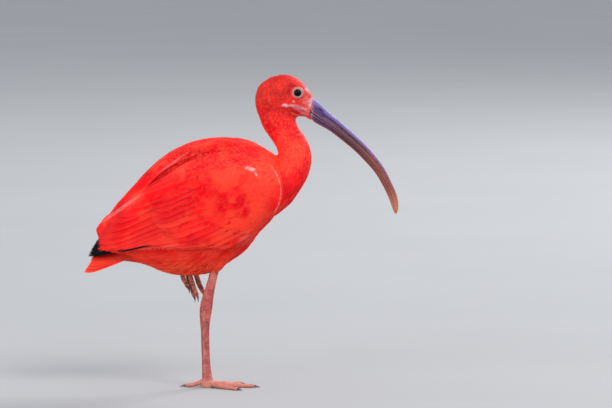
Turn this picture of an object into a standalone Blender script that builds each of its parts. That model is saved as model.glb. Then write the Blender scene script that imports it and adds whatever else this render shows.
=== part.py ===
"""Scarlet ibis, life size, standing on its right leg with the left one tucked up.

Metres, +Z up. The bird faces +X, its left side is +Y, and the origin is on the floor
under the standing foot. Sizes below are in millimetres and are turned into metres by mm().
"""

import math

import bmesh
import bpy
import numpy as np
from mathutils import Vector

MM = 0.001
GAP = 0.3  # left between pieces that touch
RIGHT, LEFT = -1, 1  # the sign of Y on each side

# Flesh, as seen from the side: x, top, height of the widest point, bottom, half width.
TORSO = [
    (-107, 183, 165, 150, 7),
    (-90, 210, 169, 146.5, 17),
    (-75, 231, 175, 143, 26),
    (-60, 246, 180, 138.5, 33.5),
    (-44, 258.5, 186, 132, 39.5),
    (-26, 267.5, 193, 129.6, 44.2),
    (-8, 274, 200, 130.5, 47),
    (10, 278, 208, 134.5, 49),
    (28, 280, 216, 146.5, 50),
    (46, 280, 222, 159.5, 49),
    (63, 273, 227, 183, 46),
    (75, 264, 229, 196, 42.5),
    (87, 256, 231, 205, 37),
    (97, 252, 234, 212.5, 30),
    (105, 250, 238, 226, 21),
    (111, 246, 241, 236, 9),
]
HEAD = [
    (55.2, 337, 332, 327, 3.5),
    (57.5, 345, 332, 318, 9.8),
    (63, 352, 333, 310, 13.2),
    (72, 358.2, 334, 305, 15.2),
    (84, 361.8, 336, 307.5, 16.2),
    (94, 361.4, 337, 311, 16.1),
    (102, 358.6, 336, 312.6, 15),
    (108, 354.8, 333, 312.8, 13.4),
    (113, 350.6, 329, 312, 11.6),
    (117, 344.8, 325, 310.4, 10),
    (121, 337, 321.5, 309, 8.6),
    (124, 331, 319.5, 308, 7.8),
]
# Neck centre line: x, z, radius fore and aft, radius sideways.
NECK = [
    (83, 328, 16, 13.2),
    (79.6, 315.5, 19.8, 14.8),
    (84.3, 303.8, 18.8, 14.8),
    (91, 291.5, 17, 14.8),
    (97.5, 281, 17.8, 16),
    (101, 269.5, 19.2, 18.5),
    (99.5, 256, 20.4, 22.5),
    (93, 243, 20.5, 28),
    (82, 228, 21, 33),
    (66, 213, 20, 36),
]
# Feathered thigh: x, distance from the middle plane, z, radius fore and aft, sideways.
THIGH = [
    (30, 28, 205, 15, 12),
    (26, 27, 185, 16, 15),
    (20, 22, 163, 13.5, 12.5),
    (13.5, 17, 146, 9, 8.5),
    (10.5, 15, 137.5, 6.3, 6),
]
FLESH_VOXEL, FLESH_SMOOTHING, FLESH_KEPT = 2.0, 7, 0.028
HEAD_CUT = (86, 316, 52)  # x and z of a point on the cut, and its tilt in degrees
NECK_CUT = (93, 289, 62)
CHEST_CUT = (99, 262, 78)
BILL_PLANE_X = 120.5  # where the skin ends and the horn begins

# Mouth line of the bill: x, z, depth above it, depth below it, half width.
BILL = [
    (120.8, 317.4, 17.2, 8.2, 8.0),
    (130.8, 310.4, 12.2, 6.9, 6.9),
    (145, 301.3, 9.8, 6.1, 5.9),
    (160.3, 288.9, 8.9, 5.6, 5.3),
    (173.7, 277.5, 8.2, 5.5, 4.9),
    (186, 265, 7.6, 5.4, 4.6),
    (197.6, 250.8, 6.6, 4.9, 4.3),
    (206, 235.5, 6.1, 4.3, 4.1),
    (212.8, 220.2, 5.8, 3.8, 3.9),
    (216, 208, 4.2, 2.7, 3.2),
    (217, 201.2, 1.3, 0.9, 1.3),
]
# Half section of a jaw, from the mouth line to the ridge: share of width, share of depth.
JAW_SECTION = [(1.0, 0), (1.0, 0.22), (0.95, 0.38), (0.90, 0.55), (0.66, 0.84), (0.26, 0.985)]
GROOVE_ROW = 2  # the row of the section that the groove on a jaw's flank draws in
UPPER_GROOVE, LOWER_GROOVE = 0.10, 0.05
NOSTRIL = (128.5, 6.9, 321.5)  # middle of the slit in the upper jaw
NOSTRIL_SIZE, NOSTRIL_TILT = (4.6, 1.6, 1.0), 38

EYE = (104, 340, 13.2)  # x, z and distance of the ball's centre from the middle plane
EYE_RADIUS = 4.7
LID_RADIUS, LID_THICKNESS = 5.2, 1.0
LID_OUT = 2.0  # how far the lids lie outside the ball's centre

# Outline that the folded wings lie on: x, top, widest height, bottom, half width.
WING_SURFACE = [
    (-145, 160, 152, 144, 12),
    (-128, 172, 158, 146, 15),
    (-110, 194, 165, 146, 20.5),
    (-90, 219, 172, 142, 27.5),
    (-70, 241, 179, 137, 35),
    (-50, 259, 186, 132, 42),
    (-30, 270, 192, 129, 47),
    (-10, 277, 199, 129, 50),
    (10, 281, 207, 133, 52),
    (30, 282, 216, 145.5, 52.2),
    (50, 279.5, 224, 161.5, 50.4),
    (70, 269.5, 229, 190, 46),
    (85, 259, 231.5, 202, 39.6),
    (97, 253.5, 234.5, 211, 31.6),
]
ROOF_POWER, KEEL_POWER = 2.0, 2.2

# The wing's own axes in side view: from the bend of the wing, back and down at this slope.
WING_FRONT = (88, 236)
WING_SLOPE = 21.5
# Covert shell: distance along the wing, lower edge, upper edge.
COVERTS = [
    (-3, 10, 26),
    (1, -4, 34),
    (8, -15, 41),
    (22, -29, 50),
    (42, -40, 57.5),
    (64, -47, 61.5),
    (86, -43, 62),
    (106, -33, 60),
    (122, -26, 56),
]
# Heights of the shell: its middle and its rim over the surface, and how deep it goes there.
COVERT_RISE, COVERT_RIM = 5.4, 0.9
COVERT_SINK, COVERT_RIM_SINK = 3.4, 2.2
# Vane rows. Each row runs from its first to its last feather: root (along, across), tip
# (along, across), half width, height over the surface at the root, middle and tip.
SECONDARIES = [
    ((60, -38), (150, -14), 8.5, (0.6, 0.9, 0.9)),
    ((66, -29), (172, -7), 9, (0.9, 1.2, 1.1)),
    ((71, -19), (192, -1.5), 9, (1.2, 1.6, 1.4)),
    ((75, -9), (209, 3), 9, (1.5, 2.0, 1.8)),
    ((79, 1), (221, 8), 9, (1.8, 2.4, 2.3)),
    ((82, 11), (227, 13.5), 9, (2.1, 2.9, 2.8)),
    ((84, 21), (225, 19.5), 9, (2.4, 3.4, 3.4)),
    ((84, 31), (217, 26), 9, (2.7, 3.9, 4.0)),
    ((83, 41), (205, 33), 9, (3.0, 4.4, 4.6)),
    ((80, 50), (190, 41), 8.5, (3.2, 4.8, 5.2)),
]
GREATER_COVERTS = [
    ((36, -33), (96, -37), 7.5, (1.2, 4.6, 2.8)),
    ((44, -25), (117, -26), 8.5, (2.0, 5.8, 4.2)),
    ((51, -14), (133, -14), 9, (2.8, 6.8, 5.6)),
    ((56, -3), (145, -3), 9, (3.0, 7.2, 6.2)),
    ((59, 8), (152, 8), 9, (3.0, 7.5, 6.9)),
    ((60, 19), (154, 18), 9, (2.8, 7.8, 7.5)),
    ((59, 30), (152, 28), 9, (2.6, 8.0, 8.0)),
    ((56, 41), (146, 38), 9, (2.2, 8.1, 8.3)),
]
PRIMARIES = [
    ((135, -14), (204, -3), 5.4, (-4.4, -4.4, -4.2)),
    ((135, -6), (243, 4.4), 5.2, (-4.9, -4.9, -4.7)),
    ((135, -4), (240, 9), 5.2, (-3.7, -3.8, -3.6)),
    ((135, -1), (231, 14.5), 5.0, (-2.5, -2.6, -2.4)),
]
PRIMARY_ROOT = (9, 3.2, 9)  # block in which the primaries' roots are set
PRIMARY_ROOT_PLACE = (142, -6, -3.7)
# Back feathers on each side, front row last: root (x, y), tip (x, y), half width, height.
SCAPULARS = [
    ((4, 9), (-118, 5), 8, (-0.5, 3.2, 3.4)),
    ((2, 20), (-101, 12.5), 8, (-0.5, 3.2, 3.4)),
    ((26, 7), (-84, 7), 8.5, (-0.5, 5.3, 5.5)),
    ((24, 19.5), (-64, 19.5), 8.5, (-0.5, 5.3, 5.5)),
    ((48, 7), (-36, 7), 8.5, (0, 7.4, 7.6)),
    ((46, 19.5), (-28, 19.5), 8.5, (0, 7.4, 7.6)),
]
# Mound of small feathers at their roots: x, top, height of the widest point, bottom, half width.
MANTLE = [
    (-12, 281, 275, 262, 12),
    (5, 286, 277, 258, 19),
    (28, 287.6, 278, 256, 22),
    (48, 284.6, 277, 256, 20),
    (62, 277.5, 272, 258, 13),
    (70, 272, 268, 258, 7),
]
# Room of the back feathers between the wings: x and its half width.
SADDLE = [(-126, 2.5), (-112, 6), (-95, 11), (-75, 16), (-36, 23), (0, 25), (40, 25.5), (66, 23), (74, 18)]
SADDLE_BOTTOM, SADDLE_TOP = 170, 330
VANE_THICKNESS = 0.8
VANE_SHAPE = [(0, 0.5), (0.36, 0.92), (0.72, 1.0), (0.93, 0.66), (1, 0.22)]
VANE_CAMBER, VANE_BOW = 0.06, 2.5
VANE_TILT = 0.13  # slope of a wing vane, whose lower edge stands over the next lower vane
BACK_TILT = 0.09  # the same on the back, whose vanes go down from the middle

# Tail: root and tip of the middle feather, spread and droop of the outer ones.
TAIL_ROOT, TAIL_TIP = (-84, 163), (-137.2, 148.8)
TAIL_FEATHERS = 10
TAIL_ROOT_SPREAD, TAIL_TIP_SPREAD = 8, 17.5
TAIL_HALF_WIDTH = 8.5
TAIL_LONGER, TAIL_DROOP = 5.5, 6  # of the outermost feather
TAIL_STEP = 1.5  # each feather lies this much under the one nearer the middle
TAIL_LEAN = 0.42  # sideways slope of the feathers
TAIL_THICKNESS = 0.9
# Root of the tail: x, y, z, radius up and down, radius sideways.
TAIL_BASE = [
    (-80, 0, 159, 6, 12),
    (-92, 0, 156, 5.6, 12),
    (-104, 0, 152.5, 3.8, 11),
    (-112, 0, 149.5, 1.5, 8),
]

# Standing leg, from inside the belly to the foot: x, y, z, radius fore and aft, sideways.
LEG_RIGHT = [
    (14, -16, 158, 6.2, 5.6),
    (10.5, -13, 143, 5.2, 4.7),
    (7.2, -10, 130, 4.8, 4.2),
    (4.0, -7.6, 117, 5.3, 4.4),
    (0.8, -5.6, 104, 6.4, 5.0),
    (-1.1, -4.5, 93, 7.2, 5.8),
    (-2.2, -3.6, 81, 6.3, 5.0),
    (-2.4, -2.7, 68, 4.9, 4.0),
    (-2.2, -1.9, 54, 4.7, 3.7),
    (-1.8, -1.1, 40, 4.6, 3.7),
    (-1.2, -0.5, 26, 4.8, 4.0),
    (-0.4, 0.0, 12.5, 5.6, 5.0),
]
HEEL_RIGHT = ((-0.8, -4.6, 95), (0.16, -0.1, 1))  # a point on the joint, and its axis
# Middle of the standing foot: x, y, z, radius fore and aft, sideways.
HUB = [
    (0, 0, -2, 7.6, 7.4),
    (0.2, 0, 3, 7.8, 7.4),
    (0, 0, 8, 6.8, 6.2),
    (-0.3, 0, 12.2, 5.6, 5.0),
]
# Toes on the floor: yaw in degrees, length without claw, radius at the root, number of joints.
TOES_RIGHT = {
    "toe_hind": (176, 25, 3.3, 1),
    "toe_inner": (30, 43, 3.4, 2),
    "toe_middle": (-6, 54, 3.6, 3),
    "toe_outer": (-40, 46, 3.4, 3),
}
CLAW_LENGTH, CLAW_CURVE = 7.0, 1.6
TOE_START = 3.0  # distance of the toes' roots from the middle of the foot
TOE_TAPER, TOE_KNUCKLE = 0.36, 0.16
FRONT_LIFT, HIND_LIFT = 2.4, 4.2  # how high a toe's root lies over its tip

# Tucked leg, from inside the flank back to the heel and forward along the belly.
LEG_LEFT = [
    (-44, 27, 169, 4.9, 4.9),
    (-59, 24, 164.5, 4.6, 4.6),
    (-74, 20.4, 160, 4.8, 4.8),
    (-88, 17.4, 155.6, 5.5, 5.5),
    (-99, 18.2, 152.4, 6.1, 6.1),
    (-103.6, 22.6, 151, 6.3, 6.3),
    (-99.5, 27.2, 149.8, 5.9, 5.9),
    (-88, 26.8, 148, 5.1, 5.1),
    (-73, 23.2, 145.4, 4.5, 4.5),
    (-58, 19.3, 143, 4.4, 4.4),
    (-43, 15, 140.6, 4.6, 4.6),
    (-30, 11, 138, 5.0, 5.0),
]
HEEL_LEFT = ((-103, 22.7, 151), (0, 1, 0))
# Tucked toes: the points of each centre line, from in the belly to the claw's root, and radius.
TOES_LEFT = {
    "toe_hind": ([(-30, 11, 139), (-28.6, 11.5, 128), (-26, 12, 121), (-22.5, 12.5, 114.5)], 3.0),
    "toe_inner": ([(-24, 16, 139), (-21.8, 18, 124), (-19, 18.5, 114), (-15.4, 18.5, 103.5)], 3.1),
    "toe_middle": ([(-15, 11, 139), (-11, 10.4, 123), (-5.5, 9, 111), (2.4, 7.6, 100)], 3.4),
    "toe_outer": ([(-22, 5.5, 139), (-19, 4, 126), (-15.5, 3, 116), (-11.5, 1.5, 106)], 3.1),
}

COLOURS = {
    "scarlet": ((0.90, 0.045, 0.02), 0.62),
    "deep_scarlet": ((0.78, 0.02, 0.012), 0.62),
    "face_skin": ((0.86, 0.14, 0.09), 0.5),
    "wing_black": ((0.012, 0.010, 0.014), 0.5),
    "bill_dark": ((0.17, 0.095, 0.12), 0.34),
    "bill_pale": ((0.36, 0.13, 0.10), 0.36),
    "leg_skin": ((0.66, 0.20, 0.16), 0.5),
    "claw": ((0.16, 0.09, 0.07), 0.35),
    "eye_dark": ((0.012, 0.008, 0.012), 0.06),
}


def mm(*values):
    """A point given in millimetres, in metres."""
    return Vector(values) * MM


def between(table, at):
    """The columns of a table at a first-column value, on a smooth curve through its rows."""
    rows = np.array(table, float)
    keys = rows[:, 0]
    at = min(max(at, keys[0]), keys[-1])
    i = int(min(max(np.searchsorted(keys, at) - 1, 0), len(keys) - 2))
    slopes = np.gradient(rows[:, 1:], keys, axis=0)
    span = keys[i + 1] - keys[i]
    t = (at - keys[i]) / span
    start, end = rows[i, 1:], rows[i + 1, 1:]
    blend = t * t * (3 - 2 * t)
    bend_in, bend_out = t * (1 - t) ** 2, t * t * (t - 1)
    return start + (end - start) * blend + span * (slopes[i] * bend_in + slopes[i + 1] * bend_out)


def along(points, t):
    """A point at t, from 0 to 1, on a smooth curve through rows of equal spacing."""
    rows = [(i / (len(points) - 1), *p) for i, p in enumerate(points)]
    return between(rows, t)


def material(name):
    """The material of that name from the palette."""
    found = bpy.data.materials.get(name)
    if found:
        return found
    colour, roughness = COLOURS[name]
    made = bpy.data.materials.new(name)
    made.use_nodes = True
    shader = made.node_tree.nodes["Principled BSDF"]
    shader.inputs["Base Color"].default_value = (*colour, 1)
    shader.inputs["Roughness"].default_value = roughness
    shader.inputs["Metallic"].default_value = 0
    made.diffuse_color = (*colour, 1)
    return made


def object_of(name, bm, collection=None):
    """A new object from a bmesh, with its faces turned outwards."""
    bmesh.ops.recalc_face_normals(bm, faces=bm.faces)
    mesh = bpy.data.meshes.new(name)
    bm.to_mesh(mesh)
    bm.free()
    obj = bpy.data.objects.new(name, mesh)
    (collection or CUTTERS).objects.link(obj)
    return obj


def loft(name, rings):
    """A closed skin through rings of equal point counts, with flat ends."""
    bm = bmesh.new()
    loops = [[bm.verts.new(p) for p in ring] for ring in rings]
    for near, far in zip(loops, loops[1:]):
        for i in range(len(near)):
            j = (i + 1) % len(near)
            bm.faces.new((near[i], near[j], far[j], far[i]))
    bm.faces.new(loops[0][::-1])
    bm.faces.new(loops[-1])
    return object_of(name, bm)


def upright_ring(x, top, middle, bottom, half_width, count=28, power=2.15):
    """An egg-shaped section in the plane across the bird."""
    ring = []
    for i in range(count):
        angle = 2 * math.pi * i / count
        side, rise = math.sin(angle), math.cos(angle)
        reach = (abs(side) ** power + abs(rise) ** power) ** (-1 / power)
        height = (top - middle) if rise > 0 else (middle - bottom)
        ring.append(mm(x, half_width * side * reach, middle + height * rise * reach))
    return ring


def table_loft(name, table, rings):
    """A body whose upright sections come from a table of stations."""
    first, last = table[0][0], table[-1][0]
    stations = [first + (last - first) * i / (rings - 1) for i in range(rings)]
    return loft(name, [upright_ring(x, *between(table, x)) for x in stations])


def tube(name, stations, rings, count=12, across=Vector((0, 1, 0)), floor=False):
    """A limb through stations of x, y, z, radius fore and aft, radius sideways, in millimetres."""
    made = []
    for i in range(rings):
        t = i / (rings - 1)
        x, y, z, deep, wide = along(stations, t)
        ahead = Vector(along(stations, min(t + 0.02, 1))[:3])
        behind = Vector(along(stations, max(t - 0.02, 0))[:3])
        forward = (ahead - behind).normalized()
        side = (across - forward * across.dot(forward)).normalized()
        up = forward.cross(side)
        ring = []
        for k in range(count):
            angle = 2 * math.pi * k / count
            p = Vector((x, y, z)) + side * wide * math.cos(angle) + up * deep * math.sin(angle)
            ring.append(mm(p.x, p.y, max(p.z, 0) if floor else p.z))
        made.append(ring)
    return loft(name, made)


def evaluated_copy(obj, name):
    """A mesh object with every modifier of obj applied. obj is removed."""
    graph = bpy.context.evaluated_depsgraph_get()
    mesh = bpy.data.meshes.new_from_object(obj.evaluated_get(graph))
    made = bpy.data.objects.new(name, mesh)
    made.matrix_world = obj.matrix_world
    CUTTERS.objects.link(made)
    bpy.data.objects.remove(obj)
    return made


def largest_body(obj):
    """Keeps only the closed surface of obj that holds the most."""
    bm = bmesh.new()
    bm.from_mesh(obj.data)
    left, bodies = set(bm.faces), []
    while left:
        body, edge = set(), [left.pop()]
        while edge:
            face = edge.pop()
            body.add(face)
            for side in face.edges:
                for other in side.link_faces:
                    if other in left:
                        left.discard(other)
                        edge.append(other)
        bodies.append(body)
    held = [
        abs(sum(f.calc_center_median().dot(f.normal) * f.calc_area() for f in body))
        for body in bodies
    ]
    keep = bodies[held.index(max(held))]
    bmesh.ops.delete(bm, geom=[f for f in bm.faces if f not in keep], context="FACES")
    loose = [v for v in bm.verts if not v.link_faces]
    bmesh.ops.delete(bm, geom=loose, context="VERTS")
    bm.to_mesh(obj.data)
    bm.free()
    return obj


def boolean(obj, others, operation, solver="EXACT"):
    """obj joined with, cut by or limited to other closed meshes, which are kept unless joined."""
    group = bpy.data.collections.new("operands")
    for other in others:
        group.objects.link(other)
    change = obj.modifiers.new(operation.lower(), "BOOLEAN")
    change.operation = operation
    change.solver = solver
    change.operand_type = "COLLECTION"
    change.collection = group
    made = evaluated_copy(obj, obj.name)
    bpy.data.collections.remove(group)
    if operation == "UNION":
        for other in others:
            bpy.data.objects.remove(other)
    return largest_body(made)


def fattened(obj, by):
    """A copy of obj whose surface stands this many millimetres further out."""
    mesh = obj.data.copy()
    made = bpy.data.objects.new(obj.name + "_fat", mesh)
    CUTTERS.objects.link(made)
    normals = [v.normal.copy() for v in mesh.vertices]
    for v, n in zip(mesh.vertices, normals):
        v.co += n * by * MM
    return made


def parted(obj, name, point, axis, side):
    """The closed piece of obj on one side of a plane, half the gap away from it."""
    axis = Vector(axis).normalized() * side
    bm = bmesh.new()
    bm.from_mesh(obj.data)
    cut = bmesh.ops.bisect_plane(
        bm,
        geom=[*bm.verts, *bm.edges, *bm.faces],
        dist=1e-7,
        plane_co=mm(*(Vector(point) + axis * GAP / 2)),
        plane_no=axis,
        clear_inner=True,
    )
    rim_edges = [g for g in cut["geom_cut"] if isinstance(g, bmesh.types.BMEdge)]
    bmesh.ops.contextual_create(bm, geom=rim_edges)
    return object_of(name, bm)


def half_space(name, x, z, tilt, side):
    """The space near the bird on one side of a plane whose normal is tilt degrees over +X."""
    reach = 400
    angle = math.radians(tilt)
    shift = side * (reach + GAP) / 2
    bpy.ops.mesh.primitive_cube_add(size=1)
    block = bpy.context.object
    block.name = name
    block.scale = mm(reach, reach, reach)
    block.rotation_euler = (0, -angle, 0)
    block.location = mm(x + shift * math.cos(angle), 0, z + shift * math.sin(angle))
    return evaluated_copy(block, name)


def finish(obj, name, colour):
    """Puts a finished piece in the model's collection with its material."""
    obj.name = name
    obj.data.name = name
    obj.data.materials.clear()
    obj.data.materials.append(material(colour))
    for face in obj.data.polygons:
        face.material_index = 0
        face.use_smooth = True
    obj.data.set_sharp_from_angle(angle=math.radians(35))
    for group in list(obj.users_collection):
        group.objects.unlink(obj)
    MODEL.objects.link(obj)
    return obj


def flesh():
    """Torso, neck and head as one smooth skin, before it is parted."""
    torso = table_loft("torso_form", TORSO, 34)
    head = table_loft("head_form", HEAD, 24)
    neck = tube(
        "neck_form", [(x, 0, z, deep, wide) for x, z, deep, wide in NECK], 26, count=24
    )
    bm = bmesh.new()
    thighs = [
        tube("thigh", [(x, side * y, z, deep, wide) for x, y, z, deep, wide in THIGH], 12)
        for side in (RIGHT, LEFT)
    ]
    for piece in (torso, head, neck, *thighs):
        bm.from_mesh(piece.data)
        bpy.data.objects.remove(piece)
    whole = object_of("flesh", bm)
    skin = whole.modifiers.new("one_skin", "REMESH")
    skin.mode = "VOXEL"
    skin.voxel_size = FLESH_VOXEL * MM
    soften = whole.modifiers.new("soften", "SMOOTH")
    soften.factor = 0.5
    soften.iterations = FLESH_SMOOTHING
    thin = whole.modifiers.new("fewer_faces", "DECIMATE")
    thin.ratio = FLESH_KEPT
    return evaluated_copy(whole, "flesh")


def part_flesh(whole):
    """Cuts the skin into torso, two lengths of neck and head, and returns them."""
    cuts = {"head": HEAD_CUT, "neck": NECK_CUT, "chest": CHEST_CUT}
    pieces = {}
    for name, limits in {
        "torso": [("chest", -1)],
        "neck_lower": [("chest", 1), ("neck", -1)],
        "neck_upper": [("neck", 1), ("head", -1)],
        "head": [("head", 1)],
    }.items():
        piece = bpy.data.objects.new(name, whole.data.copy())
        CUTTERS.objects.link(piece)
        for cut, side in limits:
            x, z, tilt = cuts[cut]
            half = half_space(f"{name}_{cut}", x, z, tilt, side)
            piece = boolean(piece, [half], "INTERSECT")
            bpy.data.objects.remove(half)
        pieces[name] = piece
    return pieces


def eyes_and_lids(head):
    """Raises the lids on the head, sinks the sockets and returns the balls."""
    x, z, out = EYE
    lids, balls = [], []
    for side in (RIGHT, LEFT):
        bpy.ops.mesh.primitive_torus_add(
            major_radius=LID_RADIUS * MM,
            minor_radius=LID_THICKNESS * MM,
            major_segments=14,
            minor_segments=5,
            location=mm(x, side * (out + LID_OUT), z),
            rotation=(math.radians(90), 0, 0),
        )
        lids.append(evaluated_copy(bpy.context.object, "lid"))
    head = boolean(head, lids, "UNION")
    for side in (RIGHT, LEFT):
        place = mm(x, side * out, z)
        socket = sphere("socket", place, EYE_RADIUS + GAP)
        head = boolean(head, [socket], "DIFFERENCE")
        bpy.data.objects.remove(socket)
        balls.append((side, sphere("eye", place, EYE_RADIUS)))
    return head, balls


def sphere(name, place, radius, segments=14, rings=8):
    """A ball with its poles pointing to the sides."""
    bpy.ops.mesh.primitive_uv_sphere_add(
        radius=radius * MM,
        segments=segments,
        ring_count=rings,
        location=place,
        rotation=(math.radians(90), 0, 0),
    )
    return evaluated_copy(bpy.context.object, name)


def bill_half(name, upper, rings=16):
    """One jaw: a horn shell with a groove on each flank, meeting the other on the mouth line."""
    made = []
    for i in range(rings):
        t = (i / (rings - 1)) ** 0.92
        x, z, up, down, wide = along(BILL, t)
        ahead, behind = along(BILL, min(t + 0.02, 1)), along(BILL, max(t - 0.02, 0))
        forward = Vector((ahead[0] - behind[0], 0, ahead[1] - behind[1])).normalized()
        upright = Vector((0, 0, 1))
        rise = Vector((-forward.z, 0, forward.x)).lerp(upright, max(0, 1 - t * 9)).normalized()
        depth, sign = (up, 1) if upper else (down, -1)
        fade = math.sin(math.pi * min(1, t * 1.15)) ** 0.5
        groove = UPPER_GROOVE * fade if upper else LOWER_GROOVE
        right = [(w - groove * (i == GROOVE_ROW), d) for i, (w, d) in enumerate(JAW_SECTION)]
        left = [(-w, d) for w, d in reversed(right)]
        ring = []
        for w, d in right + left:
            p = Vector((x, w * wide, z)) + rise * sign * (depth * d + GAP / 2)
            ring.append(mm(*p))
        made.append(ring)
    return loft(name, made)


def bill():
    """Both jaws, with the slit nostrils near the root of the upper one."""
    upper = bill_half("bill_upper", True)
    x, y, z = NOSTRIL
    for side in (RIGHT, LEFT):
        bpy.ops.mesh.primitive_uv_sphere_add(
            radius=1, segments=8, ring_count=6, location=mm(x, side * y, z)
        )
        slit = bpy.context.object
        slit.scale = mm(*NOSTRIL_SIZE)
        slit.rotation_euler = (0, math.radians(NOSTRIL_TILT), 0)
        slit = evaluated_copy(slit, "slit")
        upper = boolean(upper, [slit], "DIFFERENCE")
        bpy.data.objects.remove(slit)
    finish(upper, "bill_upper", "bill_dark")
    finish(bill_half("bill_lower", False), "bill_lower", "bill_pale")


def wing_to_side(a, b):
    """Side-view x and z of a point given along and across the wing."""
    slope = math.radians(WING_SLOPE)
    back, down = -math.cos(slope), -math.sin(slope)
    return (
        WING_FRONT[0] + a * back + b * down,
        WING_FRONT[1] + a * down - b * back,
    )


def wing_reach(x, z):
    """Distance from the middle plane of the surface that the folded wing lies on."""
    top, middle, bottom, wide = between(WING_SURFACE, x)
    if z > middle:
        t, power = (z - middle) / (top - middle), ROOF_POWER
    else:
        t, power = (middle - z) / (middle - bottom), KEEL_POWER
    return wide * (1 - min(t, 0.985) ** power) ** (1 / power)


def side_point(a, b, height, side):
    """A point this high over the wing's surface, and the surface's normal there."""
    x, z = wing_to_side(a, b)
    step = 1.0
    across_x = (wing_reach(x + step, z) - wing_reach(x - step, z)) / (2 * step)
    across_z = (wing_reach(x, z + step) - wing_reach(x, z - step)) / (2 * step)
    normal = Vector((-across_x, side, -across_z)).normalized()
    return Vector((x, side * wing_reach(x, z), z)) + normal * height, normal


def back_point(x, y, height):
    """A point this high over the back between the wings, and the normal there."""

    def level(at_x, at_y):
        top, middle, _, wide = between(WING_SURFACE, at_x)
        share = min(abs(at_y) / wide, 0.985)
        return middle + (top - middle) * (1 - share**ROOF_POWER) ** (1 / ROOF_POWER)

    step = 1.0
    across_x = (level(x + step, y) - level(x - step, y)) / (2 * step)
    across_y = (level(x, y + step) - level(x, y - step)) / (2 * step)
    normal = Vector((-across_x, -across_y, 1)).normalized()
    return Vector((x, y, level(x, y))) + normal * height, normal


def vane(name, centres, normals, widths, tilt=0.0, thickness=VANE_THICKNESS):
    """A thin closed feather along a centre line, cambered, its faces split alike."""
    rings = []
    for i, (centre, normal) in enumerate(zip(centres, normals)):
        ahead = centres[min(i + 1, len(centres) - 1)]
        behind = centres[max(i - 1, 0)]
        forward = (ahead - behind).normalized()
        side = normal.cross(forward).normalized()
        wide = widths[i]
        ridge = VANE_CAMBER * wide
        edges = [(-1, -ridge), (0, ridge), (1, -ridge)]
        half = thickness / 2
        ring = []
        for share, lift in edges:
            ring.append(centre + side * wide * share + normal * (lift + tilt * share * wide + half))
        for share, lift in reversed(edges):
            ring.append(centre + side * wide * share + normal * (lift + tilt * share * wide - half))
        rings.append([mm(*p) for p in ring])
    bm = bmesh.new()
    loops = [[bm.verts.new(p) for p in ring] for ring in rings]
    for near, far in zip(loops, loops[1:]):
        for i in range(6):
            j = (i + 1) % 6
            if i in (3, 4):
                bm.faces.new((near[i], near[j], far[i]))
                bm.faces.new((near[j], far[j], far[i]))
            else:
                bm.faces.new((near[i], near[j], far[j]))
                bm.faces.new((near[i], far[j], far[i]))
    for loop in (loops[0], loops[-1]):
        for i, j, k, m in ((0, 1, 4, 5), (1, 2, 3, 4)):
            bm.faces.new((loop[i], loop[j], loop[k]))
            bm.faces.new((loop[i], loop[k], loop[m]))
    return object_of(name, bm)


def heights_at(heights, t):
    """Height at t on the curve through a root, a middle and a tip height."""
    return along([(h,) for h in heights], t)[0]


def wing_vane(feather, side):
    """A feather laid on the folded wing."""
    (a0, b0), (a1, b1), wide, heights = feather
    centres, normals, widths = [], [], []
    for t, share in VANE_SHAPE:
        bow = VANE_BOW * math.sin(math.pi * t)
        p, n = side_point(
            a0 + (a1 - a0) * t, b0 + (b1 - b0) * t + bow, heights_at(heights, t), side
        )
        centres.append(p)
        normals.append(n)
        widths.append(wide * share)
    return vane("vane", centres, normals, widths, tilt=-VANE_TILT * side)


def covert_shell(side, rows=10, columns=8):
    """The smooth fore part of the folded wing, a lens between the body and the coverts."""
    first, last = COVERTS[0][0], COVERTS[-1][0]
    outer, inner = [], []
    for i in range(rows):
        u = i / (rows - 1)
        a = first + (last - first) * (0.35 * u + 0.65 * u * u)
        low, high = between(COVERTS, a)
        front = min(1, u / 0.3)
        swell = math.sqrt(1 - (1 - front) ** 2) * (1 - 0.55 * max(0, (u - 0.55) / 0.45))
        line_out, line_in = [], []
        for j in range(columns):
            s = 2 * j / (columns - 1) - 1
            b = low + (high - low) * (s + 1) / 2
            dome = (1 - s**4) * swell
            rise = COVERT_RIM + (COVERT_RISE - COVERT_RIM) * dome
            sink = COVERT_RIM_SINK + (COVERT_SINK - COVERT_RIM_SINK) * dome
            line_out.append(side_point(a, b, rise, side)[0])
            line_in.append(side_point(a, b, -sink, side)[0])
        outer.append(line_out)
        inner.append(line_in)
    bm = bmesh.new()
    top = [[bm.verts.new(mm(*p)) for p in line] for line in outer]
    low_face = [[bm.verts.new(mm(*p)) for p in line] for line in inner]
    for grid in (top, low_face):
        for i in range(rows - 1):
            for j in range(columns - 1):
                a, b, c, d = grid[i][j], grid[i][j + 1], grid[i + 1][j + 1], grid[i + 1][j]
                bm.faces.new((a, b, c))
                bm.faces.new((a, c, d))
    ring_out = rim(top)
    ring_in = rim(low_face)
    for k in range(len(ring_out)):
        m = (k + 1) % len(ring_out)
        bm.faces.new((ring_out[k], ring_out[m], ring_in[m], ring_in[k]))
    return object_of("coverts", bm)


def rim(grid):
    """The outer vertices of a grid, in order round it."""
    first, last = grid[0], grid[-1]
    left = [line[0] for line in grid]
    right = [line[-1] for line in grid]
    return first[:-1] + right[:-1] + last[:0:-1] + left[:0:-1]


def wing(side, body):
    """Shell, greater coverts and secondaries of one wing, joined and laid on the body."""
    name = "wing_right" if side == RIGHT else "wing_left"
    shell = covert_shell(side)
    shell.name = name
    feathers = [wing_vane(f, side) for f in SECONDARIES + GREATER_COVERTS]
    made = boolean(shell, feathers, "UNION", solver="MANIFOLD")
    made = boolean(made, body, "DIFFERENCE", solver="MANIFOLD")
    return finish(made, name, "scarlet")


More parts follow.
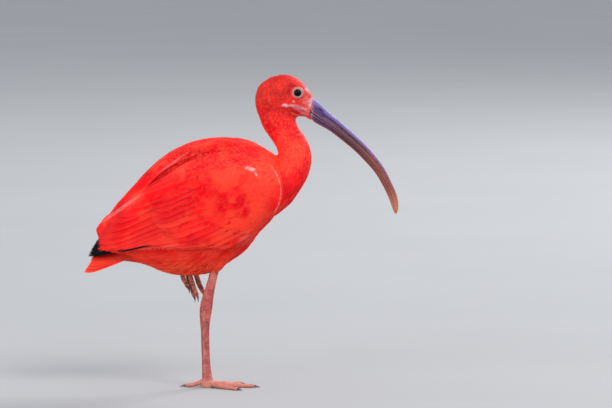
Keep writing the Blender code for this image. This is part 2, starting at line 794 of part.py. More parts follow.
def primaries(side, body):
    """The black-tipped flight feathers that show under the wing's tip."""
    name = "primaries_right" if side == RIGHT else "primaries_left"
    feathers = [wing_vane(f, side) for f in PRIMARIES]
    first = feathers.pop(0)
    first.name = name
    centre, _ = side_point(*PRIMARY_ROOT_PLACE, side)
    bpy.ops.mesh.primitive_cube_add(size=1, location=mm(*centre))
    root = bpy.context.object
    root.scale = mm(*PRIMARY_ROOT)
    root.rotation_euler = (0, math.radians(-WING_SLOPE), 0)
    feathers.append(evaluated_copy(root, "root"))
    made = boolean(first, feathers, "UNION", solver="MANIFOLD")
    made = boolean(made, body, "DIFFERENCE", solver="MANIFOLD")
    return finish(made, name, "wing_black")


def back_vane(feather, side):
    """A feather laid on the back."""
    (x0, y0), (x1, y1), wide, heights = feather
    centres, normals, widths = [], [], []
    for t, share in VANE_SHAPE:
        p, n = back_point(
            x0 + (x1 - x0) * t, side * (y0 + (y1 - y0) * t), heights_at(heights, t)
        )
        centres.append(p)
        normals.append(n)
        widths.append(wide * share)
    return vane("vane", centres, normals, widths, tilt=BACK_TILT * side)


def saddle(grow):
    """The room between the wings that the back feathers take, made wider by grow."""
    rings = []
    for x, wide in SADDLE:
        y = wide + grow
        low, high = SADDLE_BOTTOM, SADDLE_TOP
        rings.append([mm(x, -y, low), mm(x, y, low), mm(x, y, high), mm(x, -y, high)])
    return loft("saddle", rings)


def scapulars(fat_flesh):
    """The feathers of the upper back, which hang over the wings' upper edges."""
    pad = table_loft("scapulars", MANTLE, 12)
    feathers = [back_vane(f, side) for f in SCAPULARS for side in (RIGHT, LEFT)]
    made = boolean(pad, feathers, "UNION", solver="MANIFOLD")
    made = boolean(made, [fat_flesh], "DIFFERENCE", solver="MANIFOLD")
    made = boolean(made, [saddle(-GAP / 2)], "INTERSECT", solver="MANIFOLD")
    return finish(made, "scapulars", "deep_scarlet")


def tail(body):
    """The closed tail: vanes under one another from the middle outwards."""
    root, tip = Vector((TAIL_ROOT[0], 0, TAIL_ROOT[1])), Vector((TAIL_TIP[0], 0, TAIL_TIP[1]))
    length = (tip - root).length
    forward = (tip - root) / length
    up = Vector((-forward.z, 0, forward.x)) * -1
    feathers = []
    half_count = TAIL_FEATHERS // 2
    for k in range(TAIL_FEATHERS):
        side = LEFT if k < half_count else RIGHT
        place = k % half_count
        out = (place + 0.5) / (half_count - 0.5)
        reach = length + TAIL_LONGER * out**2
        centres, normals, widths = [], [], []
        for t, width_share in VANE_SHAPE:
            spread = (TAIL_ROOT_SPREAD + (TAIL_TIP_SPREAD - TAIL_ROOT_SPREAD) * t) * out
            drop = TAIL_STEP * (place + (0.5 if side == LEFT else 0)) + TAIL_DROOP * out**2 * t
            centres.append(root + forward * reach * t - up * drop + Vector((0, side * spread, 0)))
            normals.append((up + Vector((0, TAIL_LEAN * side, 0))).normalized())
            widths.append(TAIL_HALF_WIDTH * max(width_share, 0.35))
        feathers.append(vane("tail", centres, normals, widths, thickness=TAIL_THICKNESS))
    first = feathers.pop(0)
    base = tube("tail_base", TAIL_BASE, 7, count=14)
    made = boolean(first, [*feathers, base], "UNION", solver="MANIFOLD")
    made = boolean(made, body, "DIFFERENCE", solver="MANIFOLD")
    return finish(made, "tail", "deep_scarlet")


def claw(name, root, forward, down, radius):
    """A curved, tapering nail that starts at a toe's end."""
    stations = []
    for t in (0, 0.35, 0.7, 1):
        p = root + forward * CLAW_LENGTH * t + down * CLAW_CURVE * t * t
        stations.append((*p, max(radius * (1 - t), 0.35), max(radius * 0.8 * (1 - t), 0.3)))
    side = forward.cross(down).normalized()
    made = tube(name, stations, 4, count=6, across=side, floor=True)
    return finish(made, name, "claw")


def standing_foot():
    """Hub, four toes and their claws, flat on the floor."""
    hub = tube("foot_right", HUB, 6, count=14, floor=True)
    fat = fattened(hub, GAP)
    for name, (yaw, length, radius, joints) in TOES_RIGHT.items():
        angle = math.radians(yaw)
        out = Vector((math.cos(angle), math.sin(angle), 0))
        stations = []
        count = 4 * joints + 3
        for i in range(count):
            t = i / (count - 1)
            knuckle = 0.5 + 0.5 * math.cos(2 * math.pi * joints * t)
            r = radius * (1 - TOE_TAPER * t) * (0.90 + TOE_KNUCKLE * knuckle)
            lift = HIND_LIFT * (1 - t) ** 1.5 if name == "toe_hind" else FRONT_LIFT * (1 - t) ** 3
            p = out * (TOE_START + (length - TOE_START) * t)
            stations.append((p.x, p.y, r * 0.80 + lift, r * 0.95, r))
        side = Vector((-out.y, out.x, 0))
        toe = tube(name, stations, count, count=8, across=side, floor=True)
        toe = boolean(toe, [fat], "DIFFERENCE")
        for other, (other_yaw, *_) in TOES_RIGHT.items():
            turn = (yaw - other_yaw + 180) % 360 - 180
            if 0 < abs(turn) < 60:
                across = math.radians((yaw + other_yaw) / 2 + 90)
                axis = (math.cos(across), math.sin(across), 0)
                toe = parted(toe, name, (0, 0, 0), axis, math.copysign(1, turn))
        finish(toe, f"{name}_right", "leg_skin")
        end = stations[-1]
        root = Vector(end[:3]) + out * GAP
        claw(f"claw{name[3:]}_right", root, out, Vector((0, 0, -0.9)), end[3] * 0.92)
    bpy.data.objects.remove(fat)
    return finish(hub, "foot_right", "leg_skin")


def tucked_foot(fat_flesh):
    """The toes of the raised foot, hanging loosely from the belly's feathers."""
    for name, (points, radius) in TOES_LEFT.items():
        count, joints = 9, 2
        stations = []
        for i in range(count):
            t = i / (count - 1)
            knuckle = 0.5 + 0.5 * math.cos(2 * math.pi * joints * t)
            r = radius * (1 - TOE_TAPER * t) * (0.90 + TOE_KNUCKLE * knuckle)
            stations.append((*along(points, t), r, r))
        toe = tube(name, stations, count, count=8)
        toe = boolean(toe, [fat_flesh], "DIFFERENCE")
        finish(toe, f"{name}_left", "leg_skin")
        end, before = Vector(stations[-1][:3]), Vector(stations[-2][:3])
        forward = (end - before).normalized()
        back = Vector((-1, 0, -0.2))
        back = (back - forward * forward.dot(back)).normalized()
        root = end + forward * GAP
        claw(f"claw{name[3:]}_left", root, forward, back, stations[-1][3] * 0.92)


def leg(side, stations, heel, rings, fat_flesh):
    """Shank and tarsus of one leg, parted at the heel, and the whole leg grown by the gap."""
    name = "right" if side == RIGHT else "left"
    across = Vector((0, 1, 0)) if side == RIGHT else Vector((0, 0, 1))
    whole = tube("limb", stations, rings, count=10, across=across)
    room = fattened(whole, GAP)
    point, axis = heel
    for part, way in (("shank", 1), ("tarsus", -1)):
        if side == LEFT:
            way = -way
        piece = parted(whole, f"{part}_{name}", point, axis, way)
        piece = boolean(piece, [fat_flesh], "DIFFERENCE")
        finish(piece, f"{part}_{name}", "leg_skin")
    bpy.data.objects.remove(whole)
    return room


def main():
    for obj in list(bpy.data.objects):
        bpy.data.objects.remove(obj)
    global MODEL, CUTTERS
    MODEL = bpy.data.collections.new("scarlet_ibis")
    CUTTERS = bpy.data.collections.new("helpers")
    bpy.context.scene.collection.children.link(MODEL)
    bpy.context.scene.collection.children.link(CUTTERS)

    whole = flesh()
    fat_flesh = fattened(whole, GAP)
    pieces = part_flesh(whole)
    snout = half_space("snout", BILL_PLANE_X, EYE[1], 0, -1)
    pieces["head"] = boolean(pieces["head"], [snout], "INTERSECT")
    bpy.data.objects.remove(snout)
    pieces["head"], balls = eyes_and_lids(pieces["head"])
    for name, piece in pieces.items():
        finish(piece, name, "face_skin" if name == "head" else "scarlet")
    for side, ball in balls:
        finish(ball, "eye_right" if side == RIGHT else "eye_left", "eye_dark")
    bill()
    bpy.data.objects.remove(leg(RIGHT, LEG_RIGHT, HEEL_RIGHT, 18, fat_flesh))
    standing_foot()
    folded = leg(LEFT, LEG_LEFT, HEEL_LEFT, 20, fat_flesh)
    tucked_foot(fat_flesh)
    for side in (RIGHT, LEFT):
        body = [fat_flesh, folded] if side == LEFT else [fat_flesh]
        wing(side, [*body, saddle(GAP / 2)])
        primaries(side, body)
    scapulars(fat_flesh)
    tail([fat_flesh, folded])
    for helper in list(CUTTERS.objects):
        bpy.data.objects.remove(helper)


main()
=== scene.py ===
"""Looks of the scarlet ibis: a skin under a coat of feathers, bill, eyes, legs, light, camera.

Lengths below are in millimetres and become metres by MM.
"""

import math

import bmesh
import bpy
import numpy as np
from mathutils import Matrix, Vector, kdtree, noise
from mathutils.bvhtree import BVHTree


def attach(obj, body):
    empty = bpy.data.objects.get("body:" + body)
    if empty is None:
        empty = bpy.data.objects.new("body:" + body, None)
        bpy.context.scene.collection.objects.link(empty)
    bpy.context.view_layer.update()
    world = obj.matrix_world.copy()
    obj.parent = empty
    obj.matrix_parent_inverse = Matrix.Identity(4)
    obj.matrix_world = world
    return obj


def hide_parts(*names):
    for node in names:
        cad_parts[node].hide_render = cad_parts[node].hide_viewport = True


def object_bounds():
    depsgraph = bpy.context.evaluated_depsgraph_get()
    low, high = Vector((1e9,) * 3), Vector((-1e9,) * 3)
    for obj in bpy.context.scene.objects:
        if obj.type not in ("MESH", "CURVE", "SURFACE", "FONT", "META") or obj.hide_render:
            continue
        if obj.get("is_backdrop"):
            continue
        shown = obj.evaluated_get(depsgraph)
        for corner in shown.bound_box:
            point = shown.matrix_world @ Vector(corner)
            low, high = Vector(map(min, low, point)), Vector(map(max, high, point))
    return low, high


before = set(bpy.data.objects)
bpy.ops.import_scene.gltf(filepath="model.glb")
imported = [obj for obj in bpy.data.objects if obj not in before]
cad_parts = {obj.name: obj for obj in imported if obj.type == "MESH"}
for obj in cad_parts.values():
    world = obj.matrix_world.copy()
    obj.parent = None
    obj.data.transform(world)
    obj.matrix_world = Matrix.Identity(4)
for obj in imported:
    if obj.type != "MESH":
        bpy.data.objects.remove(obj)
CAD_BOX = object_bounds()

MM = 0.001
RIGHT, LEFT = -1, 1
SIDES = ((RIGHT, "right"), (LEFT, "left"))
RNG = np.random.default_rng(7)

# The one skin: the nodes it takes the place of, and how deep it lies under each.
FLESH_NODES = ("torso", "neck_lower", "neck_upper", "head")
COAT_DEPTH = {"head": 0.3, "neck_upper": 0.2, "neck_lower": 0.3, "torso": 0.9}
SKIN_VOXEL, SKIN_SMOOTHING = 1.3, 8

# The lie of the coat: x, distance from the middle plane, z, then the way a feather points
# (back, out, up), its length, its width and the space between roots.
LIE = [
    ((118, 4, 343), (-0.8, 0.3, 0.5), 3.0, 1.5, 1.15),
    ((104, 4, 357), (-1, 0.1, 0.3), 3.6, 1.8, 1.3),
    ((88, 5, 361), (-1, 0.1, -0.1), 4.4, 2.1, 1.45),
    ((66, 6, 352), (-0.7, 0, -0.8), 5.2, 2.4, 1.6),
    ((57, 5, 330), (0, 0, -1), 6.0, 2.7, 1.8),
    ((100, 13, 324), (-0.9, 0, -0.35), 3.4, 1.6, 1.25),
    ((82, 15, 333), (-0.9, 0, -0.5), 4.2, 2.0, 1.45),
    ((106, 5, 313), (-0.9, 0, -0.3), 3.2, 1.6, 1.3),
    ((94, 12, 314), (-0.4, 0, -0.9), 4.2, 2.0, 1.5),
    ((84, 14, 303), (0.3, 0, -1), 6.2, 2.8, 1.9),
    ((70, 8, 294), (0.5, 0, -0.9), 6.8, 3.0, 2.0),
    ((105, 8, 297), (0.5, 0, -0.9), 6.0, 2.7, 1.85),
    ((117, 8, 282), (0.25, 0, -1), 7.4, 3.2, 2.1),
    ((96, 17, 278), (0.1, 0, -1), 7.6, 3.3, 2.25),
    ((121, 5, 262), (-0.1, 0, -1), 9.0, 3.8, 2.5),
    ((104, 24, 255), (-0.3, 0, -1), 10.0, 4.2, 2.7),
    ((110, 10, 232), (-0.45, 0, -0.9), 12, 5.0, 3.1),
    ((82, 22, 268), (-0.5, 0.2, -0.8), 10, 4.8, 2.9),
    ((70, 12, 277), (-0.95, 0.1, 0.1), 12, 5.6, 3.2),
    ((95, 25, 215), (-0.7, 0, -0.75), 15, 5.8, 3.5),
    ((62, 20, 180), (-0.75, 0, -0.7), 18, 5.8, 3.6),
    ((35, 15, 150), (-0.8, 0, -0.6), 19, 5.6, 3.6),
    ((26, 34, 178), (-0.5, 0, -0.87), 19, 5.0, 3.4),
    ((14, 17, 145), (-0.3, 0, -1), 13, 4.2, 2.9),
    ((0, 10, 131), (-0.95, 0, -0.25), 20, 5.4, 3.6),
    ((-10, 40, 155), (-0.85, 0, -0.5), 24, 5.4, 3.7),
    ((-40, 20, 136), (-0.97, 0, -0.1), 24, 5.4, 3.7),
    ((-60, 30, 155), (-0.97, 0, -0.2), 25, 5.6, 3.9),
    ((-85, 10, 146), (-0.98, 0, -0.12), 28, 6.4, 4.0),
    ((-95, 6, 200), (-0.75, 0, -0.66), 24, 8.0, 5.0),
    ((-40, 6, 262), (-0.88, 0, -0.45), 22, 9.0, 5.2),
    ((10, 10, 286), (-1, 0, -0.1), 20, 10, 5.2),
    ((50, 14, 284), (-1, 0.1, 0.05), 15, 8.0, 4.4),
    ((66, 34, 268), (-0.75, 0, -0.65), 12, 6.6, 3.6),
    ((84, 42, 240), (-0.35, 0, -0.93), 9.5, 5.6, 3.1),
    ((72, 46, 205), (-0.45, 0, -0.9), 11, 6.2, 3.4),
    ((45, 54, 245), (-0.5, 0, -0.86), 15, 8.6, 4.6),
    ((30, 54, 200), (-0.5, 0, -0.86), 17, 9.0, 4.8),
    ((20, 40, 268), (-0.75, 0, -0.65), 17, 9.4, 5.0),
    ((-5, 53, 215), (-0.62, 0, -0.78), 22, 11, 6.0),
    ((-30, 50, 190), (-0.75, 0, -0.66), 24, 12, 6.6),
    ((-40, 44, 225), (-0.75, 0, -0.66), 24, 12, 6.6),
]
# Height of a feather's tip over the skin as a share of its length, on the body and then on
# the wings and the back, and the depth of its root.
LIFT, WING_LIFT = 0.06, 0.035
ROOT_DEPTH = 0.3
# How far a feather takes its lie from the spots above: softness and sharpness of the blend.
LIE_SOFT, LIE_SHARP = 30, 1.8

# Bare skin of the face: middle and radius of each round patch, seen from the side.
BARE_FACE = [
    ((104, 340), 7.6),
    ((112, 336), 9.0),
    ((118, 326), 9.5),
    ((111, 322), 8.5),
    ((101, 327), 5.0),
]
BARE_LIMIT = 0.45  # bareness from which no feather grows

# The folded wing's own chart: from the bend of the wing, back and down at this slope.
WING_FRONT = (88, 236)
WING_SLOPE = math.radians(21.5)
WING_COS, WING_SIN = math.cos(WING_SLOPE), math.sin(WING_SLOPE)
# Surface the folded wing lies on: x, top, height of the widest point, bottom, half width.
WING_SURFACE = [
    (-145, 160, 152, 144, 12),
    (-128, 172, 158, 146, 15),
    (-110, 194, 165, 146, 20.5),
    (-90, 219, 172, 142, 27.5),
    (-70, 241, 179, 137, 35),
    (-50, 259, 186, 132, 42),
    (-30, 270, 192, 129, 47),
    (-10, 277, 199, 129, 50),
    (10, 281, 207, 133, 52),
    (30, 282, 216, 145.5, 52.2),
    (50, 279.5, 224, 161.5, 50.4),
    (70, 269.5, 229, 190, 46),
    (85, 259, 231.5, 202, 39.6),
    (97, 253.5, 234.5, 211, 31.6),
]
ROOF_POWER, KEEL_POWER = 2.0, 2.2
# The wing's flesh under its feathers: along, lower edge, upper edge, height at each, depth.
WING_BED = [
    (-3, 10, 26, 0.2, 0.2, 4),
    (1, -4, 34, 2.2, 2.6, 4),
    (8, -15, 41, 3.2, 3.8, 4),
    (22, -29, 50, 3.6, 4.4, 4),
    (42, -40, 57, 3.5, 5.0, 4),
    (64, -46, 60, 3.1, 5.6, 4),
    (86, -42, 60, 2.8, 5.8, 4),
    (106, -36, 58, 2.2, 5.6, 3),
    (130, -29, 56, 1.4, 4.8, 1.4),
    (150, -21, 53, 0.7, 4.0, 0.9),
    (172, -13, 50, 0.5, 3.4, 0.9),
    (192, -8, 45, 0.5, 2.8, 0.9),
    (209, -3, 38, 0.5, 2.2, 0.9),
    (221, 4, 30, 0.5, 1.6, 0.9),
]
# The back's flesh between the wings: x, half width, height over the surface above.
BACK_BED = [
    (-119, 3, 2.4),
    (-105, 8, 4.6),
    (-84, 13, 6.0),
    (-60, 18, 7.6),
    (-36, 21, 8.2),
    (-12, 23, 8.4),
    (5, 24, 7.6),
    (28, 24, 6.6),
    (48, 21, 5.8),
    (60, 17, 5.0),
    (72, 12, 5.4),
    (82, 7, 5.6),
]
# Rows of wing feathers from the lowest to the highest: root (along, across), tip (along,
# across), half width and, for the primaries, height. The row is filled up between them.
SECONDARIES = [
    ((60, -38), (150, -10.5), 9.0),
    ((71, -19), (190, 4.5), 8.8),
    ((79, 1), (223, 6.5), 8.2),
    ((84, 21), (219.5, 17), 9.0),
    ((83, 41), (204, 32), 9.5),
    ((80, 50), (190, 41), 9.0),
]
GREATER_COVERTS = [
    ((36, -33), (96, -37), 8.0),
    ((51, -14), (133, -14), 10.5),
    ((59, 8), (152, 8), 11.0),
    ((60, 30), (152, 28), 11.0),
    ((54, 48), (140, 43), 9.5),
]
TERTIALS = [
    ((64, 30), (196, 35), 8.0),
    ((50, 40), (176, 43), 8.5),
    ((34, 48), (150, 50), 8.5),
    ((20, 52), (122, 56), 8.0),
]
PRIMARIES = [
    ((135, -11), (206, 0), 4.6, 0.4),
    ((135, -8), (241, 3), 4.0, -4.6),
    ((135, -4), (237.5, 8.5), 4.2, -3.9),
    ((135, -1), (233.5, 13.5), 4.2, -3.1),
    ((135, 2), (227.5, 18), 4.2, -2.3),
]
# Rows of the red vanes, the lowest first: feathers, their number, heights at root, middle and
# tip, tone.
WING_ROWS = [
    (SECONDARIES, 14, (-0.8, -0.1, 0.45), 0.5),
    (GREATER_COVERTS, 14, (-1.4, -0.3, 0.6), 0.45),
    (TERTIALS, 6, (-0.8, 0.4, 1.0), 0.5),
]
WING_TILT, PRIMARY_TILT = -0.015, -0.13
WING_BOW = 2.5  # how far a vane bends upwards at its middle
# Long feathers of the back on each side, rearmost row first: root and tip (x, y), half width.
SCAPULARS = [
    ((4, 9), (-119, 4), 7.0),
    ((2, 20), (-104, 11), 8.0),
    ((12, 3), (-98, 2), 7.6),
    ((26, 10), (-86, 9), 8.6),
    ((24, 22), (-68, 20), 8.6),
    ((34, 2), (-66, 1), 8.4),
    ((48, 10), (-42, 9), 8.8),
    ((44, 23), (-32, 23), 8.6),
    ((52, 2), (-22, 2), 8.4),
]
TAIL_ROOT, TAIL_TIP = (-82, 163), (-133, 150)
TAIL_FEATHERS = 12
TAIL_ROOT_SPREAD, TAIL_TIP_SPREAD = 8, 18
TAIL_HALF_WIDTH = 9.0
TAIL_LONGER, TAIL_DROOP, TAIL_STEP, TAIL_LEAN = 11.5, 6.4, 1.2, 0.42

# Mouth line of the bill: x, z, depth above it, depth below it, half width.
BILL = [
    (120.8, 317.4, 17.2, 8.2, 8.0),
    (130.8, 310.4, 12.2, 6.9, 6.9),
    (145, 301.3, 9.8, 6.1, 5.9),
    (160.3, 288.9, 8.9, 5.6, 5.3),
    (173.7, 277.5, 8.2, 5.5, 4.9),
    (186, 265, 7.6, 5.4, 4.6),
    (197.6, 250.8, 6.6, 4.9, 4.3),
    (206, 235.5, 6.1, 4.3, 4.1),
    (212.8, 220.2, 5.8, 3.8, 3.9),
    (216, 208, 4.2, 2.7, 3.2),
    (217, 201.2, 1.3, 0.9, 1.3),
]
BILL_ROOT = 12  # how far the horn runs back inside the face
ROOT_SLOPE = 0.62  # of the mouth line there
MOUTH_GAP = 0.07
SNOUT_SLANT = 3.5  # how far further back the face's border lies under the bill than over it
# Place and size of a nostril, as shares of the bill's length and of its depth.
NOSTRIL_AT, NOSTRIL_HEIGHT = 0.07, 0.64
NOSTRIL_LONG, NOSTRIL_HIGH, NOSTRIL_DEPTH = 0.022, 0.075, 0.16
# Section of a half of the bill: powers that round its width and depth. Along its flank runs
# a groove: height and depth on the upper half, then on the lower one, and its half width.
SECTION_WIDE, SECTION_DEEP = 0.72, 0.95
UPPER_GROOVE, LOWER_GROOVE, GROOVE_WIDTH = (0.40, 0.17), (0.5, 0.10), 0.12
GROWTH_HEIGHT, GROWTH_RINGS, GROWTH_FADE = 0.012, 330, 5
RIM_WIDTH = 0.11
EYE = (104.3, 341.2, 12.5)
EYE_RADIUS = 5.1
PUPIL_RADIUS = 3.4
LID_PLACE = 15.2  # distance of the lids' rim from the middle plane

# Camera and stage
PIXEL = 1.15  # millimetres of the bird to a pixel of the photo
PHOTO_WIDTH = 612
VIEW_MIDDLE = (113.9, 0, 212.2)
CAMERA_DISTANCE = 5.0
CAMERA_ELEVATION = 5.0
SENSOR = 36.0
FLOOR_SIZE = 60
FLOOR_COLOURS = (0.36, 0.36, 0.365), (0.39, 0.39, 0.395)
SKY, SKY_STRENGTH = (0.82, 0.86, 0.92, 1), 0.95
# Lamps in metres: name, place, size, power.
LAMPS = [
    ("key", (3.2, -3.8, 4.8), 2.4, 230),
    ("fill", (-4.0, -4.8, 1.4), 4.4, 170),
    ("rim", (3.0, 3.4, 3.2), 2.0, 190),
]
LAMP_AIM = (0.03, 0, 0.2)


def between(table, at):
    """The columns of a table at a first-column value, on a smooth curve through its rows."""
    rows = np.array(table, float)
    keys = rows[:, 0]
    at = min(max(at, keys[0]), keys[-1])
    i = int(min(max(np.searchsorted(keys, at) - 1, 0), len(keys) - 2))
    slopes = np.gradient(rows[:, 1:], keys, axis=0)
    span = keys[i + 1] - keys[i]
    t = (at - keys[i]) / span
    start, end = rows[i, 1:], rows[i + 1, 1:]
    blend = t * t * (3 - 2 * t)
    bend_in, bend_out = t * (1 - t) ** 2, t * t * (t - 1)
    return start + (end - start) * blend + span * (slopes[i] * bend_in + slopes[i + 1] * bend_out)


def evenly(count):
    """So many numbers from 0 to 1."""
    return [i / (count - 1) for i in range(count)]


def along(points, t):
    """A point at t, from 0 to 1, on a smooth curve through evenly spaced rows."""
    return between([(i, *np.atleast_1d(p)) for i, p in zip(evenly(len(points)), points)], t)


def linked(name, mesh):
    """A new object of a mesh, at the origin."""
    obj = bpy.data.objects.new(name, mesh)
    bpy.context.scene.collection.objects.link(obj)
    return obj


def mesh_object(name, verts, faces):
    """A new smooth object at the origin from points in metres."""
    mesh = bpy.data.meshes.new(name)
    mesh.from_pydata([tuple(v) for v in verts], [], [tuple(f) for f in faces])
    mesh.update()
    mesh.shade_smooth()
    return linked(name, mesh)


def dressed(obj, material, slot, *nodes):
    """Gives a finished piece its material and hides the nodes it takes the place of. slot is not
    used.
    """
    obj.data.materials.clear()
    obj.data.materials.append(material)
    if nodes:
        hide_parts(*nodes)
    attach(obj, "root")
    return obj


def applied(obj):
    """obj with its modifiers made part of its mesh."""
    graph = bpy.context.evaluated_depsgraph_get()
    mesh = bpy.data.meshes.new_from_object(obj.evaluated_get(graph))
    obj.modifiers.clear()
    obj.data = mesh
    return obj


def one_skin(name, meshes, voxel, smoothing):
    """A closed skin round several closed meshes, without their seams."""
    bm = bmesh.new()
    for mesh in meshes:
        bm.from_mesh(mesh)
    whole = bpy.data.meshes.new(name)
    bm.to_mesh(whole)
    bm.free()
    obj = linked(name, whole)
    wrap = obj.modifiers.new("wrap", "REMESH")
    wrap.mode = "VOXEL"
    wrap.voxel_size = voxel * MM
    soften = obj.modifiers.new("soften", "SMOOTH")
    soften.factor = 0.5
    soften.iterations = smoothing
    return applied(obj)


def set_values(mesh, name, values):
    """A named number on each vertex, for the materials."""
    layer = mesh.attributes.new(name, "FLOAT", "POINT")
    layer.data.foreach_set("value", np.asarray(values, np.float32))


def lofted(name, rings):
    """A closed body through rings of equal counts, as a mesh. Points are in millimetres."""
    count = len(rings[0])
    verts = [tuple(np.array(p) * MM) for ring in rings for p in ring]
    faces = []
    for i in range(len(rings) - 1):
        for k in range(count):
            m = (k + 1) % count
            faces.append((i * count + k, i * count + m, (i + 1) * count + m, (i + 1) * count + k))
    faces.append(tuple(range(count))[::-1])
    faces.append(tuple(range((len(rings) - 1) * count, len(rings) * count)))
    mesh = bpy.data.meshes.new(name)
    mesh.from_pydata(verts, [], faces)
    bm = bmesh.new()
    bm.from_mesh(mesh)
    bmesh.ops.recalc_face_normals(bm, faces=bm.faces)
    bm.to_mesh(mesh)
    bm.free()
    return mesh


def points_of(obj):
    """Vertex places and normals of a mesh as arrays."""
    count = len(obj.data.vertices)
    places, normals = np.empty(count * 3), np.empty(count * 3)
    obj.data.vertices.foreach_get("co", places)
    obj.data.vertices.foreach_get("normal", normals)
    return places.reshape(-1, 3), normals.reshape(-1, 3)


def set_points(obj, places):
    obj.data.vertices.foreach_set("co", places.reshape(-1))
    obj.data.update()


def unit(vectors):
    """Vectors of length one."""
    return vectors / np.maximum(np.linalg.norm(vectors, axis=-1, keepdims=True), 1e-12)


def evened(obj, values, rounds):
    """Values on the vertices, evened out along the edges."""
    ends = np.empty(len(obj.data.edges) * 2, int)
    obj.data.edges.foreach_get("vertices", ends)
    a, b = ends[0::2], ends[1::2]
    count = np.bincount(ends, minlength=len(values)).astype(float)[:, None]
    for _ in range(rounds):
        total = np.zeros_like(values)
        np.add.at(total, a, values[b])
        np.add.at(total, b, values[a])
        values = 0.4 * values + 0.6 * total / np.maximum(count, 1)
    return values


def scattered(obj, number):
    """Random places on a mesh of quads in millimetres, each with a corner of its face."""
    corners = np.empty(len(obj.data.loops), int)
    obj.data.loops.foreach_get("vertex_index", corners)
    corners = np.tile(corners.reshape(-1, 4), (number, 1))
    p = points_of(obj)[0][corners] / MM
    u, v = RNG.random((2, len(corners), 1))
    low, high = p[:, 0] * (1 - u) + p[:, 1] * u, p[:, 3] * (1 - u) + p[:, 2] * u
    return low * (1 - v) + high * v, corners[:, 0]


class Ground:
    """The skin as a place to lay feathers on: nearest point and evened normal."""

    def __init__(self, obj):
        self.places, normals = points_of(obj)
        self.normals = unit(evened(obj, normals, 6))
        self.tree = kdtree.KDTree(len(self.places))
        for i, p in enumerate(self.places):
            self.tree.insert(p, i)
        self.tree.balance()

    def at(self, points):
        """The points of the skin under these, and the normals there. All in millimetres."""
        index = [self.tree.find(p)[1] for p in np.asarray(points) * MM]
        normals = self.normals[index]
        over = ((points - self.places[index] / MM) * normals).sum(1, keepdims=True)
        return points - normals * over, normals


def nearest_node(points, meshes):
    """Which of the named meshes each point lies nearest to."""
    trees = {
        name: BVHTree.FromPolygons([v.co for v in m.vertices], [p.vertices for p in m.polygons])
        for name, m in meshes.items()
    }
    names = [min((t.find_nearest(p)[3], n) for n, t in trees.items())[1] for p in points]
    return np.array(names)


def lie_at(points):
    """Direction and length, width and spacing of the coat at each point."""
    spots = np.array([s[0] for s in LIE], float)
    ways = np.array([s[1] for s in LIE], float)
    sizes = np.array([s[2:] for s in LIE], float)
    side = np.where(points[:, 1] < 0, -1.0, 1.0)
    folded = points * (1, 0, 1) + abs(points) * (0, 1, 0)
    near = ((folded[:, None, :] - spots[None]) ** 2).sum(2)
    weight = 1 / (near + LIE_SOFT) ** LIE_SHARP
    weight /= weight.sum(1)[:, None]
    way = weight @ ways
    way[:, 1] *= side
    return way, weight @ sizes


def bare(points):
    """How bare the face is at each point, 0 feathered to 1 bare."""
    most = np.zeros(len(points))
    for (x, z), radius in BARE_FACE:
        far = np.hypot(points[:, 0] - x, points[:, 2] - z)
        most = np.maximum(most, np.clip((radius - far) / 1.5 + 0.5, 0, 1))
    return most


def spaced(points, gaps, order):
    """Indexes of points, taken in order, that keep their own gap from those already taken."""
    cell = 2.5
    kept, grid = [], {}
    keys = np.floor(points / cell).astype(int)
    for i in order:
        x, y, z = keys[i]
        gap = gaps[i]
        reach = int(math.ceil(gap / cell))
        near = [
            q
            for dx in range(-reach, reach + 1)
            for dy in range(-reach, reach + 1)
            for dz in range(-reach, reach + 1)
            for q in grid.get((x + dx, y + dy, z + dz), ())
        ]
        if near and (((np.array(near) - points[i]) ** 2).sum(1) < gap * gap).any():
            continue
        kept.append(i)
        grid.setdefault((x, y, z), []).append(points[i])
    return np.array(sorted(kept))


# Feather patterns. Each vertex is (share of length, share of half width, height as a share
# of the half width), so one pattern serves every size. Faces are triangles.
TUFT = [(0, 0.35), (0.4, 0.85), (0.7, 1.0), (0.9, 0.8), (1, 0.4)]
CONTOUR = [
    (0, 0.25), (0.18, 0.62), (0.42, 0.95), (0.66, 1.0), (0.84, 0.78), (0.95, 0.42), (1, 0.12)
]
COVERT = [(0, 0.35), (0.15, 0.7), (0.4, 0.96), (0.66, 1.0), (0.84, 0.9), (0.95, 0.62), (1, 0.2)]
FLIGHT = [(0, 0.5), (0.1, 0.72), (0.35, 0.95), (0.65, 1.0), (0.85, 0.93), (0.95, 0.66), (1, 0.2)]
# Outline, rows, columns, fringe, its depth, camber, how many.
PATTERNS = {
    "tuft": (TUFT, 2, 3, 0.3, 0.34, 0.25, 5),
    "plume": (CONTOUR, 6, 4, 0.34, 0.22, 0.24, 6),
    "feather": (CONTOUR, 12, 4, 0.42, 0.20, 0.22, 8),
    "covert": (COVERT, 12, 5, 0.16, 0.10, 0.07, 6),
    "flight": (FLIGHT, 40, 7, 0.06, 0.03, 0.10, 5),
    "smooth": (FLIGHT, 24, 7, 0.02, 0.02, 0.02, 4),
}


